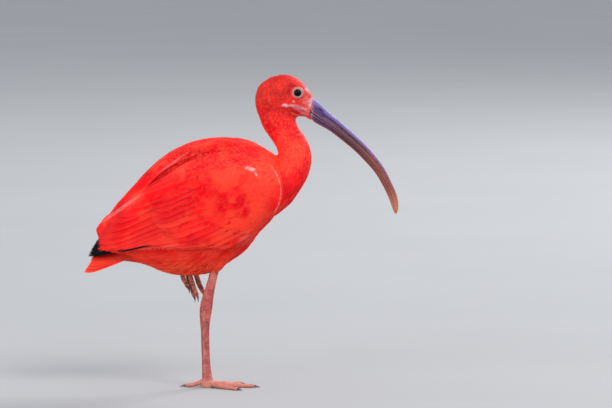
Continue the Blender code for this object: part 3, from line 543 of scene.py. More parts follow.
def vane_pattern(outline, rows, columns, fringe, depth, camber):
    """A vane whose rim is cut into barb ends: fringe and depth are their share of its size."""
    verts, faces = [], []
    ends = np.linspace(0, 1 - depth, rows + 1)
    shares = np.linspace(-1, 1, columns)
    for t in ends:
        wide = float(between(outline, t)[0]) * (1 - fringe)
        for s in shares:
            verts.append((t - 0.06 * abs(s) * (t > 0), s * wide, -camber * s * s))
    for i in range(rows):
        for j in range(columns - 1):
            a = i * columns + j
            faces += [(a, a + 1, a + columns + 1), (a, a + columns + 1, a + columns)]
    for i in range(rows):
        for j, way in ((0, -1), (columns - 1, 1)):
            a, b = i * columns + j, (i + 1) * columns + j
            t = (ends[i] + ends[i + 1]) / 2 + depth * RNG.uniform(0.5, 1.1)
            wide = float(between(outline, min(t, 1))[0]) * (1 - fringe * RNG.uniform(-0.24, 0.3))
            verts.append((min(t, 1.02), way * wide, -camber * 1.2))
            tip = len(verts) - 1
            faces.append((b, a, tip) if way > 0 else (a, b, tip))
    last = rows * columns
    for j in range(columns - 1):
        share = (shares[j] + shares[j + 1]) / 2
        reach = 1 + RNG.uniform(-0.35, 0.2) * depth - 0.3 * depth * share * share
        verts.append((reach, share * 0.42, -camber * share * share))
        faces.append((last + j, last + j + 1, len(verts) - 1))
    return np.array(verts, float), np.array(faces, int)


PATCH_SIZE = 0.003  # of a feather on the unwrap
UNWRAP_FACES = 5000
UNWRAP_ANGLE, UNWRAP_MARGIN = math.radians(66), 0.004


class Coat:
    """Collects feathers and makes them one mesh."""

    def __init__(self, name):
        self.name = name
        self.verts, self.faces, self.shades = [], [], []
        self.shares, self.edges, self.roots, self.count = [], [], [], 0

    def add(self, pattern, centres, normals, half_widths, shades, tilt=0.0):
        """Feathers of one pattern. centres and normals hold the stations of each feather."""
        shape, faces = pattern
        centres, normals = np.asarray(centres, float), np.asarray(normals, float)
        number, stations = centres.shape[:2]
        t = np.clip(shape[:, 0], 0, 1.05) * (stations - 1)
        low = np.clip(np.floor(t).astype(int), 0, stations - 2)
        part = (t - low)[None, :, None]
        middle = centres[:, low] * (1 - part) + centres[:, low + 1] * part
        up = unit(normals[:, low] * (1 - part) + normals[:, low + 1] * part)
        steps = unit(np.gradient(centres, axis=1))
        ahead = steps[:, low] * (1 - part) + steps[:, low + 1] * part
        across = unit(np.cross(up, ahead))
        wide = np.asarray(half_widths, float)[:, None, None]
        s, lift = shape[:, 1][None, :, None], shape[:, 2][None, :, None]
        points = middle + across * s * wide + up * wide * (lift + tilt * s)
        size = len(shape)
        start = self.count + np.arange(number) * size
        self.verts.append(points.reshape(-1, 3))
        self.faces.append((faces[None] + start[:, None, None]).reshape(-1, 3))
        self.shades.append(np.repeat(np.asarray(shades, float), size))
        self.shares.append(np.tile(np.clip(shape[:, 0], 0, 1), number))
        self.edges.append(np.tile(np.clip(abs(shape[:, 1]), 0, 1), number))
        self.roots.append(np.repeat(centres[:, 0], size, axis=0))
        self.count += number * size

    def make(self, material, unwrap, slot, *nodes):
        """The finished mesh, riding on the bird."""
        verts, faces = np.concatenate(self.verts) * MM, np.concatenate(self.faces)
        mesh = bpy.data.meshes.new(self.name)
        mesh.vertices.add(len(verts))
        mesh.vertices.foreach_set("co", verts.reshape(-1))
        mesh.loops.add(faces.size)
        mesh.loops.foreach_set("vertex_index", faces.reshape(-1))
        mesh.polygons.add(len(faces))
        mesh.polygons.foreach_set("loop_start", np.arange(len(faces)) * 3)
        mesh.update(calc_edges=True)
        mesh.shade_smooth()
        share, edge = np.concatenate(self.shares), np.concatenate(self.edges)
        set_values(mesh, "shade", np.concatenate(self.shades))
        set_values(mesh, "share", share)
        set_values(mesh, "edge", edge)
        patch = unwrap.at(np.concatenate(self.roots))
        patch = patch + PATCH_SIZE * np.stack([edge - 0.5, share - 0.5], axis=1)
        layer = mesh.uv_layers.new(name="OFBake")
        layer.data.foreach_set("uv", patch[faces.reshape(-1)].astype(np.float32).reshape(-1))
        return dressed(linked(self.name, mesh), material, slot, *nodes)


class Unwrap:
    """Places on a flat unwrap of the skin, found from places in space."""

    def __init__(self, skin):
        coarse = linked("unwrap", skin.data.copy())
        thin = coarse.modifiers.new("thin", "DECIMATE")
        thin.ratio = min(1, UNWRAP_FACES / len(coarse.data.polygons))
        applied(coarse)
        bpy.context.view_layer.objects.active = coarse
        coarse.select_set(True)
        bpy.ops.object.mode_set(mode="EDIT")
        bpy.ops.mesh.select_all(action="SELECT")
        bpy.ops.uv.smart_project(angle_limit=UNWRAP_ANGLE, island_margin=UNWRAP_MARGIN)
        bpy.ops.object.mode_set(mode="OBJECT")
        data = coarse.data
        uv = data.uv_layers.active.data
        self.tree = kdtree.KDTree(len(data.polygons))
        self.charts = []
        for face in data.polygons:
            self.tree.insert(face.center, face.index)
            places = [np.array(data.vertices[v].co) for v in face.vertices[:3]]
            corners = [np.array(uv[i].uv) for i in list(face.loop_indices)[:3]]
            step = np.stack([places[1] - places[0], places[2] - places[0]])
            flat = np.stack([corners[1] - corners[0], corners[2] - corners[0]])
            self.charts.append((places[0], corners[0], np.linalg.pinv(step.T), flat))
        self.tree.balance()
        bpy.data.objects.remove(coarse)

    def at(self, points):
        """Unwrap places of many points in millimetres; a run of equal ones is looked up once."""
        fresh = np.ones(len(points), bool)
        fresh[1:] = (points[1:] != points[:-1]).any(1)
        found = []
        for p in points[fresh] * MM:
            origin, start, inverse, flat = self.charts[self.tree.find(p)[1]]
            found.append(start + (inverse @ (p - origin)) @ flat)
        return np.clip(np.array(found)[np.cumsum(fresh) - 1], 0.002, 0.998)


class Nodes:
    """Short ways to add shader nodes. colour is the material's base colour so far."""

    def __init__(self, tree):
        self.tree = tree
        self.shader = tree.nodes["Principled BSDF"]
        self.place = None
        self.colour = None

    def add(self, kind, **settings):
        node = self.tree.nodes.new(kind)
        for name, value in settings.items():
            setattr(node, name, value)
        return node

    def join(self, out, into):
        self.tree.links.new(out, into)

    def put(self, socket, value):
        if isinstance(value, bpy.types.NodeSocket):
            self.join(value, socket)
        else:
            socket.default_value = value

    def attribute(self, name):
        return self.add("ShaderNodeAttribute", attribute_name=name).outputs["Fac"]

    def position(self):
        """Place on the bird in millimetres, both sides folded onto the left, and its parts."""
        if self.place is None:
            coords = self.add("ShaderNodeTexCoord").outputs["Object"]
            scale = self.add("ShaderNodeVectorMath", operation="SCALE")
            self.join(coords, scale.inputs[0])
            scale.inputs["Scale"].default_value = 1 / MM
            parts = self.add("ShaderNodeSeparateXYZ")
            self.join(scale.outputs[0], parts.inputs[0])
            fold = self.maths("ABSOLUTE", parts.outputs["Y"])
            joined = self.add("ShaderNodeCombineXYZ")
            self.join(parts.outputs["X"], joined.inputs["X"])
            self.join(fold, joined.inputs["Y"])
            self.join(parts.outputs["Z"], joined.inputs["Z"])
            self.place = (joined.outputs[0], parts.outputs["X"], fold, parts.outputs["Z"])
        return self.place

    def maths(self, operation, *values):
        node = self.add("ShaderNodeMath", operation=operation)
        for socket, value in zip(node.inputs, values):
            self.put(socket, value)
        return node.outputs[0]

    def times(self, first, *others):
        """The product of all the values."""
        for other in others:
            first = self.maths("MULTIPLY", first, other)
        return first

    def plus(self, first, second):
        return self.maths("ADD", first, second)

    def texture(self, kind, size, stretch=None, **settings):
        """A texture node whose pattern is about size millimetres wide."""
        node = self.add(kind, **settings)
        place = self.position()[0]
        if stretch:
            scale = self.add("ShaderNodeVectorMath", operation="MULTIPLY")
            self.join(place, scale.inputs[0])
            scale.inputs[1].default_value = stretch
            place = scale.outputs[0]
        self.join(place, node.inputs["Vector"])
        node.inputs["Scale"].default_value = 1 / size
        return node

    def noise(self, size, detail=3.0, rough=0.55, stretch=None):
        node = self.texture("ShaderNodeTexNoise", size, stretch)
        node.inputs["Detail"].default_value = detail
        node.inputs["Roughness"].default_value = rough
        return node.outputs["Fac"]

    def cells(self, size, stretch=None):
        """Distance from the borders of cells."""
        node = self.texture("ShaderNodeTexVoronoi", size, stretch, feature="DISTANCE_TO_EDGE")
        return node.outputs["Distance"]

    def step(self, value, low, high, start=0.0, end=1.0):
        """value from low to high, made start to end with soft ends."""
        node = self.add("ShaderNodeMapRange", interpolation_type="SMOOTHSTEP")
        self.put(node.inputs["Value"], value)
        names = ("From Min", "From Max", "To Min", "To Max")
        for name, number in zip(names, (low, high, start, end)):
            node.inputs[name].default_value = number
        return node.outputs["Result"]

    def away(self, x, z, long=1.0, turn=0.0):
        """Distance from a place seen from the side, long times shorter along a turned axis."""
        _, px, _, pz = self.position()
        c, s = math.cos(math.radians(turn)), math.sin(math.radians(turn))
        dx, dz = self.maths("SUBTRACT", px, x), self.maths("SUBTRACT", pz, z)
        u = self.plus(self.times(dx, c / long), self.times(dz, s / long))
        v = self.plus(self.times(dx, -s), self.times(dz, c))
        return self.maths("SQRT", self.plus(self.times(u, u), self.times(v, v)))

    def spot(self, x, z, radius, soft, long=1.0, turn=0.0):
        """1 inside a patch seen from the side, long times wider along its turned axis."""
        far = self.away(x, z, long, turn)
        return self.step(far, radius - soft / 2, radius + soft / 2, 1.0, 0.0)

    def mix(self, share, first, second):
        node = self.add("ShaderNodeMix", data_type="RGBA")
        self.put(node.inputs["Factor"], share)
        colours = [s for s in node.inputs if s.type == "RGBA"]
        for socket, value in zip(colours, (first, second)):
            self.put(socket, value if isinstance(value, bpy.types.NodeSocket) else (*value, 1))
        return [s for s in node.outputs if s.type == "RGBA"][0]

    def over(self, share, colour):
        """Lays this share of a colour over the one so far."""
        self.colour = self.mix(share, self.colour, colour)

    def paint(self):
        self.join(self.colour, self.shader.inputs["Base Color"])

    def bump(self, height, strength, distance):
        node = self.add("ShaderNodeBump")
        node.inputs["Strength"].default_value = strength
        node.inputs["Distance"].default_value = distance * MM
        self.join(height, node.inputs["Height"])
        self.join(node.outputs[0], self.shader.inputs["Normal"])


def new_material(name, roughness, specular=0.3, **sockets):
    """A node material and a helper for its nodes."""
    material = bpy.data.materials.new(name)
    material.use_nodes = True
    n = Nodes(material.node_tree)
    n.shader.inputs["Roughness"].default_value = roughness
    n.shader.inputs["Specular IOR Level"].default_value = specular
    for socket, value in sockets.items():
        n.shader.inputs[socket.replace("_", " ")].default_value = value
    return material, n


SCARLET = (0.92, 0.007, 0.010)
DEEP = (0.70, 0.001, 0.006)
ORANGE = (0.95, 0.050, 0.024)
LIGHT = (0.97, 0.13, 0.10)
# Painted shade: the crown's deep red, and its paler mottles further down.
CROWN_SHADE = (0.44, 0.006, 0.005)
# Painted shade: the deeper red under and between overlapping feathers.
FEATHER_SHADE = (0.42, 0.001, 0.004)
PALE = (0.97, 0.45, 0.42)
CROWN_SHADE_PALE = (0.66, 0.013, 0.010)
NECK_GRAIN = (0.97, 0.12, 0.08)
WING_RIM_HIGHLIGHT = (0.97, 0.30, 0.24)
BELLY_TIPS = (0.98, 0.20, 0.06)
# Patches of the plumage, seen from the side: x, z, radius, how long, turn, colour, share.
PATCHES = [
    (38, 219, 6.5, 1.6, 60, DEEP, 1.0),
    (46, 208, 4.5, 1.5, 70, DEEP, 1.0),
    (-39, 207, 13, 1.7, 55, DEEP, 0.9),
    (-12, 253, 8, 1.8, 60, DEEP, 0.7),
    (-14, 226, 9, 1.6, 62, DEEP, 0.7),
    (-68, 186, 14, 2.0, 40, DEEP, 0.7),
    (-108, 180, 10, 2.2, 40, DEEP, 0.8),
    # Painted light: this orange patch and the one at x 20 stand for the lit zone round the wing's
    # highlight.
    (66, 247, 15, 1.4, -50, ORANGE, 0.6),
    (61, 220, 12, 1.8, 80, ORANGE, 0.55),
    (22, 181, 12, 1.8, 55, ORANGE, 0.7),
    (5, 213, 7, 2.0, 65, ORANGE, 0.55),
    # Painted light round the wing's highlight.
    (20, 246, 12, 1.5, 30, ORANGE, 0.5),
    # Painted highlight: three small pale spots on the wing's front.
    (52, 256, 2.0, 1.9, -8, PALE, 0.95),
    (46.5, 257.5, 1.2, 1.6, 30, PALE, 0.8),
    (57, 250.5, 1.1, 2.2, -50, PALE, 0.6),
    (45, 176, 7, 1.6, 50, LIGHT, 0.45),
    # Painted shade: thin dark lines along the edges of the back's feathers.
    (-55, 241, 0.8, 30, 36, FEATHER_SHADE, 0.8),
    (-18, 266.5, 0.8, 24, 33, FEATHER_SHADE, 0.8),
    (-37, 262.5, 1.2, 17, 35, PALE, 0.26),
    (-97, 209, 1.8, 14, 37, PALE, 0.28),
    (-52, 165, 2, 13, 8, LIGHT, 0.4),
]
# Painted highlight on the folded wing's front, an arc seen from the side: x, z, radius, half width.
WING_EDGE = (43.2, 229.8, 42.0, 1.1)
# Heights over which the neck's own colours and then the head's deeper red, painted shade, come in.
NECK, HEAD = (236, 262), (292, 332)


def markings_and_painted_light(n):
    """Sets the plumage's colour by place alone, painted highlights and shade among it, shared by
    the skin and the coat.
    """
    _, x, _, z = n.position()
    n.colour = n.mix(n.step(n.noise(24, 2.5), 0.40, 0.62), SCARLET, DEEP)
    n.over(n.step(n.noise(31, 2.5), 0.45, 0.62, 0.0, 0.8), ORANGE)
    for px, pz, radius, long, turn, tint, share in PATCHES:
        part = n.times(n.spot(px, pz, radius, radius, long, turn), share)
        n.over(part, tint)
    # Painted highlight: the pale line along the wing's front, broken by noise.
    off = n.maths("ABSOLUTE", n.maths("SUBTRACT", n.away(*WING_EDGE[:2]), WING_EDGE[2]))
    broken = n.step(n.noise(6, 2), 0.36, 0.56, 0.2, 0.9)
    line = n.times(n.step(off, WING_EDGE[3], 0.2), n.step(x, 69, 80), broken)
    n.over(line, WING_RIM_HIGHLIGHT)
    low = n.times(n.step(z, 166, 150), n.step(x, 60, 30), 0.65)
    n.over(low, ORANGE)
    # Painted shade: above these heights the head turns a deeper, mottled red for the shade over the
    # crown.
    high = n.step(z, *HEAD)
    crown = n.mix(n.step(n.noise(13, 3.0), 0.38, 0.62), CROWN_SHADE, CROWN_SHADE_PALE)
    n.over(n.times(high, 0.9), crown)
    grain = n.times(n.step(n.noise(2.8, 2.0), 0.42, 0.66), n.step(z, 300, 330, 0.40, 0.16))
    n.over(n.times(grain, n.step(z, *NECK)), NECK_GRAIN)


# Spots of the bare face: x, z, radius, softness, how long, turn, colour, share, grain.
FACE = [
    (106, 338, 10, 4, 1, 0, (0.70, 0.030, 0.022), 0.7, 0),
    (113, 336, 8.0, 4, 1, 0, (0.68, 0.090, 0.075), 0.8, 1),
    (117, 328, 7.0, 4, 1, 0, (0.66, 0.15, 0.14), 0.85, 1),
    (109, 320, 5.5, 4, 1.8, -26, (0.60, 0.10, 0.11), 0.7, 0),
    (103, 325.0, 2.6, 2.4, 2.6, -16, (0.60, 0.17, 0.19), 0.75, 0),
    (90.5, 326.6, 2.0, 2.0, 2.0, -4, (0.76, 0.46, 0.50), 0.95, 1),
    (97.5, 326.2, 1.3, 1.6, 2.6, -6, (0.66, 0.30, 0.36), 0.8, 1),
    (99.8, 331.2, 1.2, 0.9, 1.2, 0, (0.86, 0.26, 0.20), 0.8, 0),
    (114.6, 344.2, 1.5, 1.6, 3.6, -49, (0.66, 0.38, 0.46), 0.9, 1),
    (118.9, 329.5, 1.9, 1.8, 2.8, 76, (0.66, 0.42, 0.50), 0.9, 1),
    (113.5, 321.5, 1.2, 1.6, 4.0, -28, (0.66, 0.34, 0.36), 0.8, 1),
    (114, 316.0, 0.9, 1.2, 5.0, -22, (0.72, 0.24, 0.20), 0.7, 1),
    (101.5, 319.3, 1.8, 1.3, 3.5, -24, (0.42, 0.003, 0.003), 0.95, 0),
    (101.5, 315.9, 0.9, 1.0, 6.0, -22, (0.94, 0.18, 0.06), 0.75, 0),
    (119.6, 317.5, 1.8, 1.0, 1.9, 72, (0.085, 0.035, 0.085), 0.9, 0),
    # Painted shade: deeper reds over and behind the eye, under the brow.
    (97.5, 349.5, 1.9, 2.0, 3.2, 4, (0.34, 0.003, 0.003), 0.75, 0),
    (94.2, 343.6, 2.0, 2.2, 2.2, 68, (0.36, 0.003, 0.003), 0.75, 0),
]


def face(n):
    """Lays the bare skin of the face, its pale folds and the painted shade under the brow over the
    colour.
    """
    grain = n.step(n.noise(1.8, 3.0), 0.34, 0.56)
    for x, z, radius, soft, long, turn, tint, share, grained in FACE:
        part = n.times(n.spot(x, z, radius, soft, long, turn), share)
        if grained:
            part = n.times(part, grain)
        n.over(part, tint)


def feather_material(name, light, dark, size, hanging):
    """Scarlet plumage. light and dark: how much paler a feather's edge is, a painted glow of light,
    and how much deeper its root, painted shade. size: millimetres between barbs. hanging: share of
    orange on the belly's tips.
    """
    material, n = new_material(
        name,
        0.65,
        0.05,
        Sheen_Weight=0.04,
        Sheen_Roughness=0.4,
        Sheen_Tint=(1.0, 0.16, 0.10, 1),
    )
    share, edge, shade = n.attribute("share"), n.attribute("edge"), n.attribute("shade")
    markings_and_painted_light(n)
    face(n)
    n.over(n.step(shade, 0.50, 1.0, 0.0, 0.75), DEEP)
    n.over(n.step(shade, 0.50, 0.0, 0.0, 0.60), ORANGE)
    # Painted shade: a deeper red towards each feather's root, where it lies under the feathers
    # above.
    n.over(n.step(share, 0.0, 0.6, dark, 0.0), FEATHER_SHADE)
    # Painted light: paler edges and tips, for light glowing through the thin vanes.
    pale = n.maths("MAXIMUM", n.step(edge, 0.40, 1.0), n.step(share, 0.72, 1.0))
    pale = n.times(pale, n.step(n.position()[3], 300, 325, light, light * 0.35))
    n.over(pale, LIGHT)
    fringe = n.times(n.step(n.position()[3], 154, 136), n.step(share, 0.55, 1.0), hanging)
    n.over(fringe, BELLY_TIPS)
    n.over(n.times(n.step(edge, 0.10, 0.0), 0.18), DEEP)
    n.paint()
    barbs = n.texture("ShaderNodeTexWave", size, wave_type="BANDS", bands_direction="DIAGONAL")
    barbs.inputs["Distortion"].default_value = 2.2
    n.bump(barbs.outputs["Fac"], 0.18, 0.2)
    return material


def black_material():
    """The black flight feathers, with a faint gloss."""
    material, n = new_material("black_feathers", 0.6, 0.08)
    clouds = n.step(n.noise(3, 3, 0.6, (0.3, 1, 1)), 0.4, 0.7)
    n.colour = n.mix(clouds, (0.002, 0.002, 0.003), (0.006, 0.005, 0.008))
    n.over(n.step(n.attribute("edge"), 0.8, 1.0, 0.0, 0.4), (0.014, 0.010, 0.012))
    n.paint()
    n.bump(n.noise(0.8, 2, 0.5, (0.3, 1, 1)), 0.2, 0.2)
    return material


def skin_material():
    """Skin under the coat: the same colours and painted light as the coat, with fine folds where it
    is bare.
    """
    material, n = new_material("skin", 0.5, 0.15)
    markings_and_painted_light(n)
    face(n)
    n.paint()
    height = n.plus(n.noise(0.9, 4.0, 0.65), n.times(n.cells(1.2), 0.9))
    n.bump(height, 0.55, 0.3)
    return material


def horn_material():
    """The bill: violet at the root, red-brown at the middle, pale orange at the tip, with a painted
    sheen on its ridge, a painted highlight and shadow at the mouth and painted shade in the
    nostrils.
    """
    material, n = new_material("bill_horn", 0.42, 0.25)
    _, x, _, z = n.position()
    length = n.maths("SUBTRACT", x, n.times(z, 0.75))
    length = n.plus(length, n.times(n.noise(9, 3.0, 0.6), 24))
    n.colour = n.mix(n.step(length, -95, -40), (0.075, 0.036, 0.120), (0.095, 0.028, 0.040))
    n.over(n.step(length, -40, 35), (0.26, 0.062, 0.042))
    streaks = n.noise(1.6, 3.5, 0.6, (0.55, 1.0, 0.40))
    n.over(n.step(streaks, 0.46, 0.68, 0.0, 0.65), (0.016, 0.008, 0.016))
    ridge = n.attribute("ridge")
    # Painted sheen: a pale blue-violet along the top of the ridge, stronger towards the root.
    top = n.times(n.step(ridge, 0.0, 0.8), n.step(z, 215, 290, 0.1, 0.9))
    n.over(top, (0.15, 0.105, 0.33))
    under = n.step(n.times(ridge, -1.0), 0.25, 0.9, 0.0, 0.8)
    n.over(under, (0.38, 0.085, 0.060))
    n.over(n.step(z, 236, 203, 0.0, 0.85), (0.56, 0.19, 0.095))
    rim = n.attribute("rim")
    # Painted highlight: a thin pale line along the cutting edge; then painted shadow: a near-black
    # strip where the closed jaws meet.
    n.over(n.step(rim, 0.12, 0.35, 0.0, 0.55), (0.38, 0.17, 0.14))
    n.over(n.step(rim, 0.50, 0.72, 0.0, 0.95), (0.010, 0.005, 0.007))
    # Painted shade in the nostrils' hollows.
    n.over(n.attribute("pit"), (0.006, 0.003, 0.005))
    root = n.times(n.step(x, 125, 120), n.step(n.noise(1.8, 3.0), 0.40, 0.60))
    n.over(n.times(root, 0.7), (0.50, 0.26, 0.30))
    n.paint()
    cross = n.noise(0.9, 3, 0.6, (1.0, 0.25, 1.0))
    n.bump(n.plus(cross, streaks), 0.6, 0.25)
    return material


def leg_material():
    """Scaled pinkish red skin with a painted highlight stripe on the shin; the hanging toes are
    banded red and near-black, the near-black painted shade.
    """
    material, n = new_material("leg_scales", 0.5, 0.3)
    _, x, _, z = n.position()
    n.colour = n.mix(n.step(n.noise(8, 3), 0.35, 0.68), (0.62, 0.125, 0.105), (0.44, 0.062, 0.054))
    n.over(n.step(z, 112, 128), (0.74, 0.17, 0.14))
    n.over(n.step(z, 84, 60, 0.0, 0.6), (0.42, 0.090, 0.085))
    # Painted highlight: a paler stripe down the shin.
    highlight_stripe = n.step(n.maths("ABSOLUTE", n.plus(x, 3.4)), 1.9, 0.6)
    highlight_stripe = n.times(highlight_stripe, n.step(z, 88, 76), n.step(z, 12, 24, 0.0, 0.7))
    n.over(highlight_stripe, (0.52, 0.25, 0.20))
    dark = n.times(n.step(n.noise(5, 3, 0.6, (1, 1, 0.35)), 0.48, 0.66), 0.6)
    n.over(dark, (0.20, 0.030, 0.030))
    n.over(n.step(z, 13, 6, 0.0, 0.8), (0.66, 0.23, 0.17))
    n.over(n.step(n.noise(2.2, 3), 0.54, 0.70, 0.0, 0.45), (0.72, 0.38, 0.33))
    # Painted shade: the hanging toes' near-black stripes stand for the shade they hang in.
    hung = n.times(n.step(z, 100, 108), n.step(x, -2, -5), n.step(z, 136, 131), 0.85)
    stripes = n.step(n.noise(3.5, 3, 0.6, (0.6, 0.6, 1.4)), 0.42, 0.58)
    bands = n.mix(stripes, (0.62, 0.15, 0.075), (0.11, 0.035, 0.022))
    n.over(hung, bands)
    edge = n.cells(1.9, (1, 1, 0.7))
    n.over(n.step(edge, 0.0, 0.12, 0.5, 0.0), (0.16, 0.030, 0.028))
    n.paint()
    n.bump(n.step(edge, 0.0, 0.25), 0.55, 0.35)
    return material


def claw_material():
    """Dark horn."""
    material, n = new_material("claw_horn", 0.35, 0.4)
    n.colour = n.mix(n.step(n.noise(2.5, 2), 0.4, 0.7), (0.07, 0.035, 0.028), (0.20, 0.10, 0.075))
    n.paint()
    n.bump(n.noise(0.8, 3), 0.2, 0.1)
    return material


def eye_material():
    """A near-black iris, its blue a painted reflection, round a black pupil under a wet surface."""
    material, n = new_material("eye_wet", 0.05, 0.10, Coat_Weight=0.08, Coat_Roughness=0.02)
    x, z, _ = EYE
    n.colour = n.mix(n.noise(0.5, 2), (0.003, 0.003, 0.016), (0.008, 0.006, 0.040))
    n.over(n.spot(x, z, PUPIL_RADIUS, 0.6), (0.0005, 0.0005, 0.002))
    n.paint()
    return material


def lid_material():
    """The pale wrinkled ring round the eye."""
    material, n = new_material("lid_skin", 0.5, 0.25)
    x, z, _ = EYE
    wrinkle = n.noise(0.8, 3, 0.7)
    n.colour = n.mix(n.step(wrinkle, 0.38, 0.62), (0.34, 0.11, 0.09), (0.50, 0.27, 0.23))
    n.colour = n.mix(n.spot(x, z, 6.6, 1.0), (0.62, 0.060, 0.045), n.colour)
    n.over(n.spot(x, z, 4.15, 0.5), (0.03, 0.006, 0.006))
    n.paint()
    n.bump(wrinkle, 0.5, 0.2)
    return material


# Where the wings and the back lie
def wing_to_side(a, b):
    """Side-view x and z of a point given along and across the wing."""
    x = WING_FRONT[0] - a * WING_COS - b * WING_SIN
    return x, WING_FRONT[1] - a * WING_SIN + b * WING_COS


def wing_reach(x, z):
    """Distance from the middle plane of the surface that the folded wing lies on."""
    top, middle, bottom, wide = between(WING_SURFACE, x)
    if z > middle:
        t, power = (z - middle) / (top - middle), ROOF_POWER
    else:
        t, power = (middle - z) / (middle - bottom), KEEL_POWER
    return wide * (1 - min(t, 0.985) ** power) ** (1 / power)


def wing_point(a, b, height, side):
    """A point this high over the wing's surface, and the normal there."""
    x, z = wing_to_side(a, b)
    across_x = (wing_reach(x + 1, z) - wing_reach(x - 1, z)) / 2
    across_z = (wing_reach(x, z + 1) - wing_reach(x, z - 1)) / 2
    normal = unit(np.array([-across_x, side, -across_z]))
    return np.array([x, side * wing_reach(x, z), z]) + normal * height, normal


def bed_rise(a, b):
    """Height and depth of the wing's flesh at a place on it."""
    low, high, rise_low, rise_high, depth = between(WING_BED, a)
    s = min(max((b - low) / (high - low), 0), 1)
    dome = 1 - (2 * s - 1) ** 6
    return (rise_low + (rise_high - rise_low) * s) * dome, depth * (0.4 + 0.6 * dome) + 0.2


def back_level(x, y):
    """Height of the back at a place."""
    top, middle, _, wide = between(WING_SURFACE, x)
    share = min(abs(y) / wide, 0.985)
    return middle + (top - middle) * (1 - share**ROOF_POWER) ** (1 / ROOF_POWER)


def wing_bed(side, rows=44, columns=20):
    """The folded wing's flesh as a closed body, with denser rows at its front."""
    first, last = WING_BED[0][0], WING_BED[-1][0]
    rings = []
    for u in evenly(rows):
        a = first + (last - first) * (0.5 * u + 0.5 * u * u)
        low, high = between(WING_BED, a)[:2]
        outer, inner = [], []
        for j in range(columns):
            b = low + (high - low) * j / (columns - 1)
            rise, depth = bed_rise(a, b)
            outer.append(wing_point(a, b, rise, side)[0])
            inner.append(wing_point(a, b, -depth, side)[0])
        rings.append(outer + inner[::-1])
    return lofted("wing_bed", rings)


def back_bed(rows=40, count=32):
    """The flesh of the back between the wings as a closed body."""
    first, last = BACK_BED[0][0], BACK_BED[-1][0]
    rings = []
    for i in range(rows):
        x = first + (last - first) * i / (rows - 1)
        wide, rise = between(BACK_BED, x)
        top = back_level(x, 0) + rise
        deep = min(12, 0.6 * wide + 1.5)
        ring = []
        for k in range(count):
            angle = 2 * math.pi * k / count
            ring.append((x, wide * math.sin(angle), top - deep + deep * math.cos(angle)))
        rings.append(ring)
    return lofted("back_bed", rings)


def snout(rows=10, count=24):
    """The end of the face, drawn out over the bill's root and thinner towards its end."""
    x0 = BILL[0][0]
    rings = []
    for u in evenly(rows):
        x = x0 - 9 + 10.6 * u
        z, up, down, wide = between(BILL, x)
        z -= ROOT_SLOPE * min(x - x0, 0)
        grow = 0.9 * (1 - u) + 0.15
        ring = []
        for k in range(count):
            angle = 2 * math.pi * k / count
            depth = up + grow if math.cos(angle) > 0 else down + 0.4 * grow
            back = SNOUT_SLANT * u * (1 - math.cos(angle)) / 2
            ring.append((x - back, (wide + grow) * math.sin(angle), z + depth * math.cos(angle)))
        rings.append(ring)
    return lofted("snout", rings)


def one_body():
    """The skin under the coat and the name of the part each of its points belongs to."""
    beds = {"wing_right": wing_bed(RIGHT), "wing_left": wing_bed(LEFT), "back": back_bed()}
    flesh = {node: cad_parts[node].data for node in FLESH_NODES}
    meshes = {**flesh, **beds}
    skin = one_skin("skin", [*meshes.values(), snout()], SKIN_VOXEL, SKIN_SMOOTHING)
    places, normals = points_of(skin)
    regions = nearest_node(places, meshes)
    p = places / MM
    depth = np.array([COAT_DEPTH.get(r, 0.0) for r in regions])
    depth = np.where(regions == "head", depth * (1 - bare(p)), depth)
    depth = evened(skin, depth[:, None], 6)
    set_points(skin, places + unit(evened(skin, normals, 2)) * (folds(p)[:, None] - depth) * MM)
    skin.data.shade_smooth()
    return skin, regions


# Folds of the face: start and end seen from the side, half width, height.
FOLDS = [
    ((117, 321), (91, 327.5), 1.7, 0.8),
    ((117, 316), (96, 318.5), 1.3, 0.55),
    ((114, 348.5), (98, 349.5), 1.8, 0.9),
    ((98, 349.5), (93, 343), 1.6, 0.5),
    ((119, 340), (112, 330), 1.3, 0.4),
    ((104, 332.5), (112, 333), 1.2, 0.4),
    ((116, 324), (94, 323.5), 1.1, -0.7),
    ((118, 333), (110, 344), 2.2, -0.5),
]


def folds(p):
    """Height of the face's folds at each point."""
    height = np.zeros(len(p))
    for start, end, wide, rise in FOLDS:
        step = np.array(end, float) - start
        t = np.clip(((p[:, [0, 2]] - start) @ step) / (step @ step), 0, 1)
        far = np.linalg.norm(p[:, [0, 2]] - (np.array(start) + t[:, None] * step), axis=1)
        height += rise * np.exp(-((far / wide) ** 2)) * np.clip((abs(p[:, 1]) - 3) / 3, 0, 1)
    return height


# Pieces
def sphere_at(name, place, radius, segments, rings):
    """A smooth ball with its poles to the sides, its places kept in its mesh."""
    bpy.ops.mesh.primitive_uv_sphere_add(
        segments=segments,
        ring_count=rings,
        radius=radius * MM,
        location=Vector(place) * MM,
        rotation=(math.radians(90), 0, 0),
    )
    ball = bpy.context.object
    ball.name = name
    bpy.context.view_layer.update()
    ball.data.transform(ball.matrix_world)
    ball.matrix_world.identity()
    ball.data.shade_smooth()
    return ball


# Section of the lids from inside the ball's edge out onto the skin: radius, height.
LID_SECTION = [
    (3.7, 0.1),
    (3.95, 0.75),
    (4.5, 1.1),
    (5.3, 1.0),
    (5.8, 0.8),
    (6.3, 0.7),
    (6.8, 0.3),
    (7.3, -0.7),
    (7.7, -1.9),
]
LID_TURNS = 72


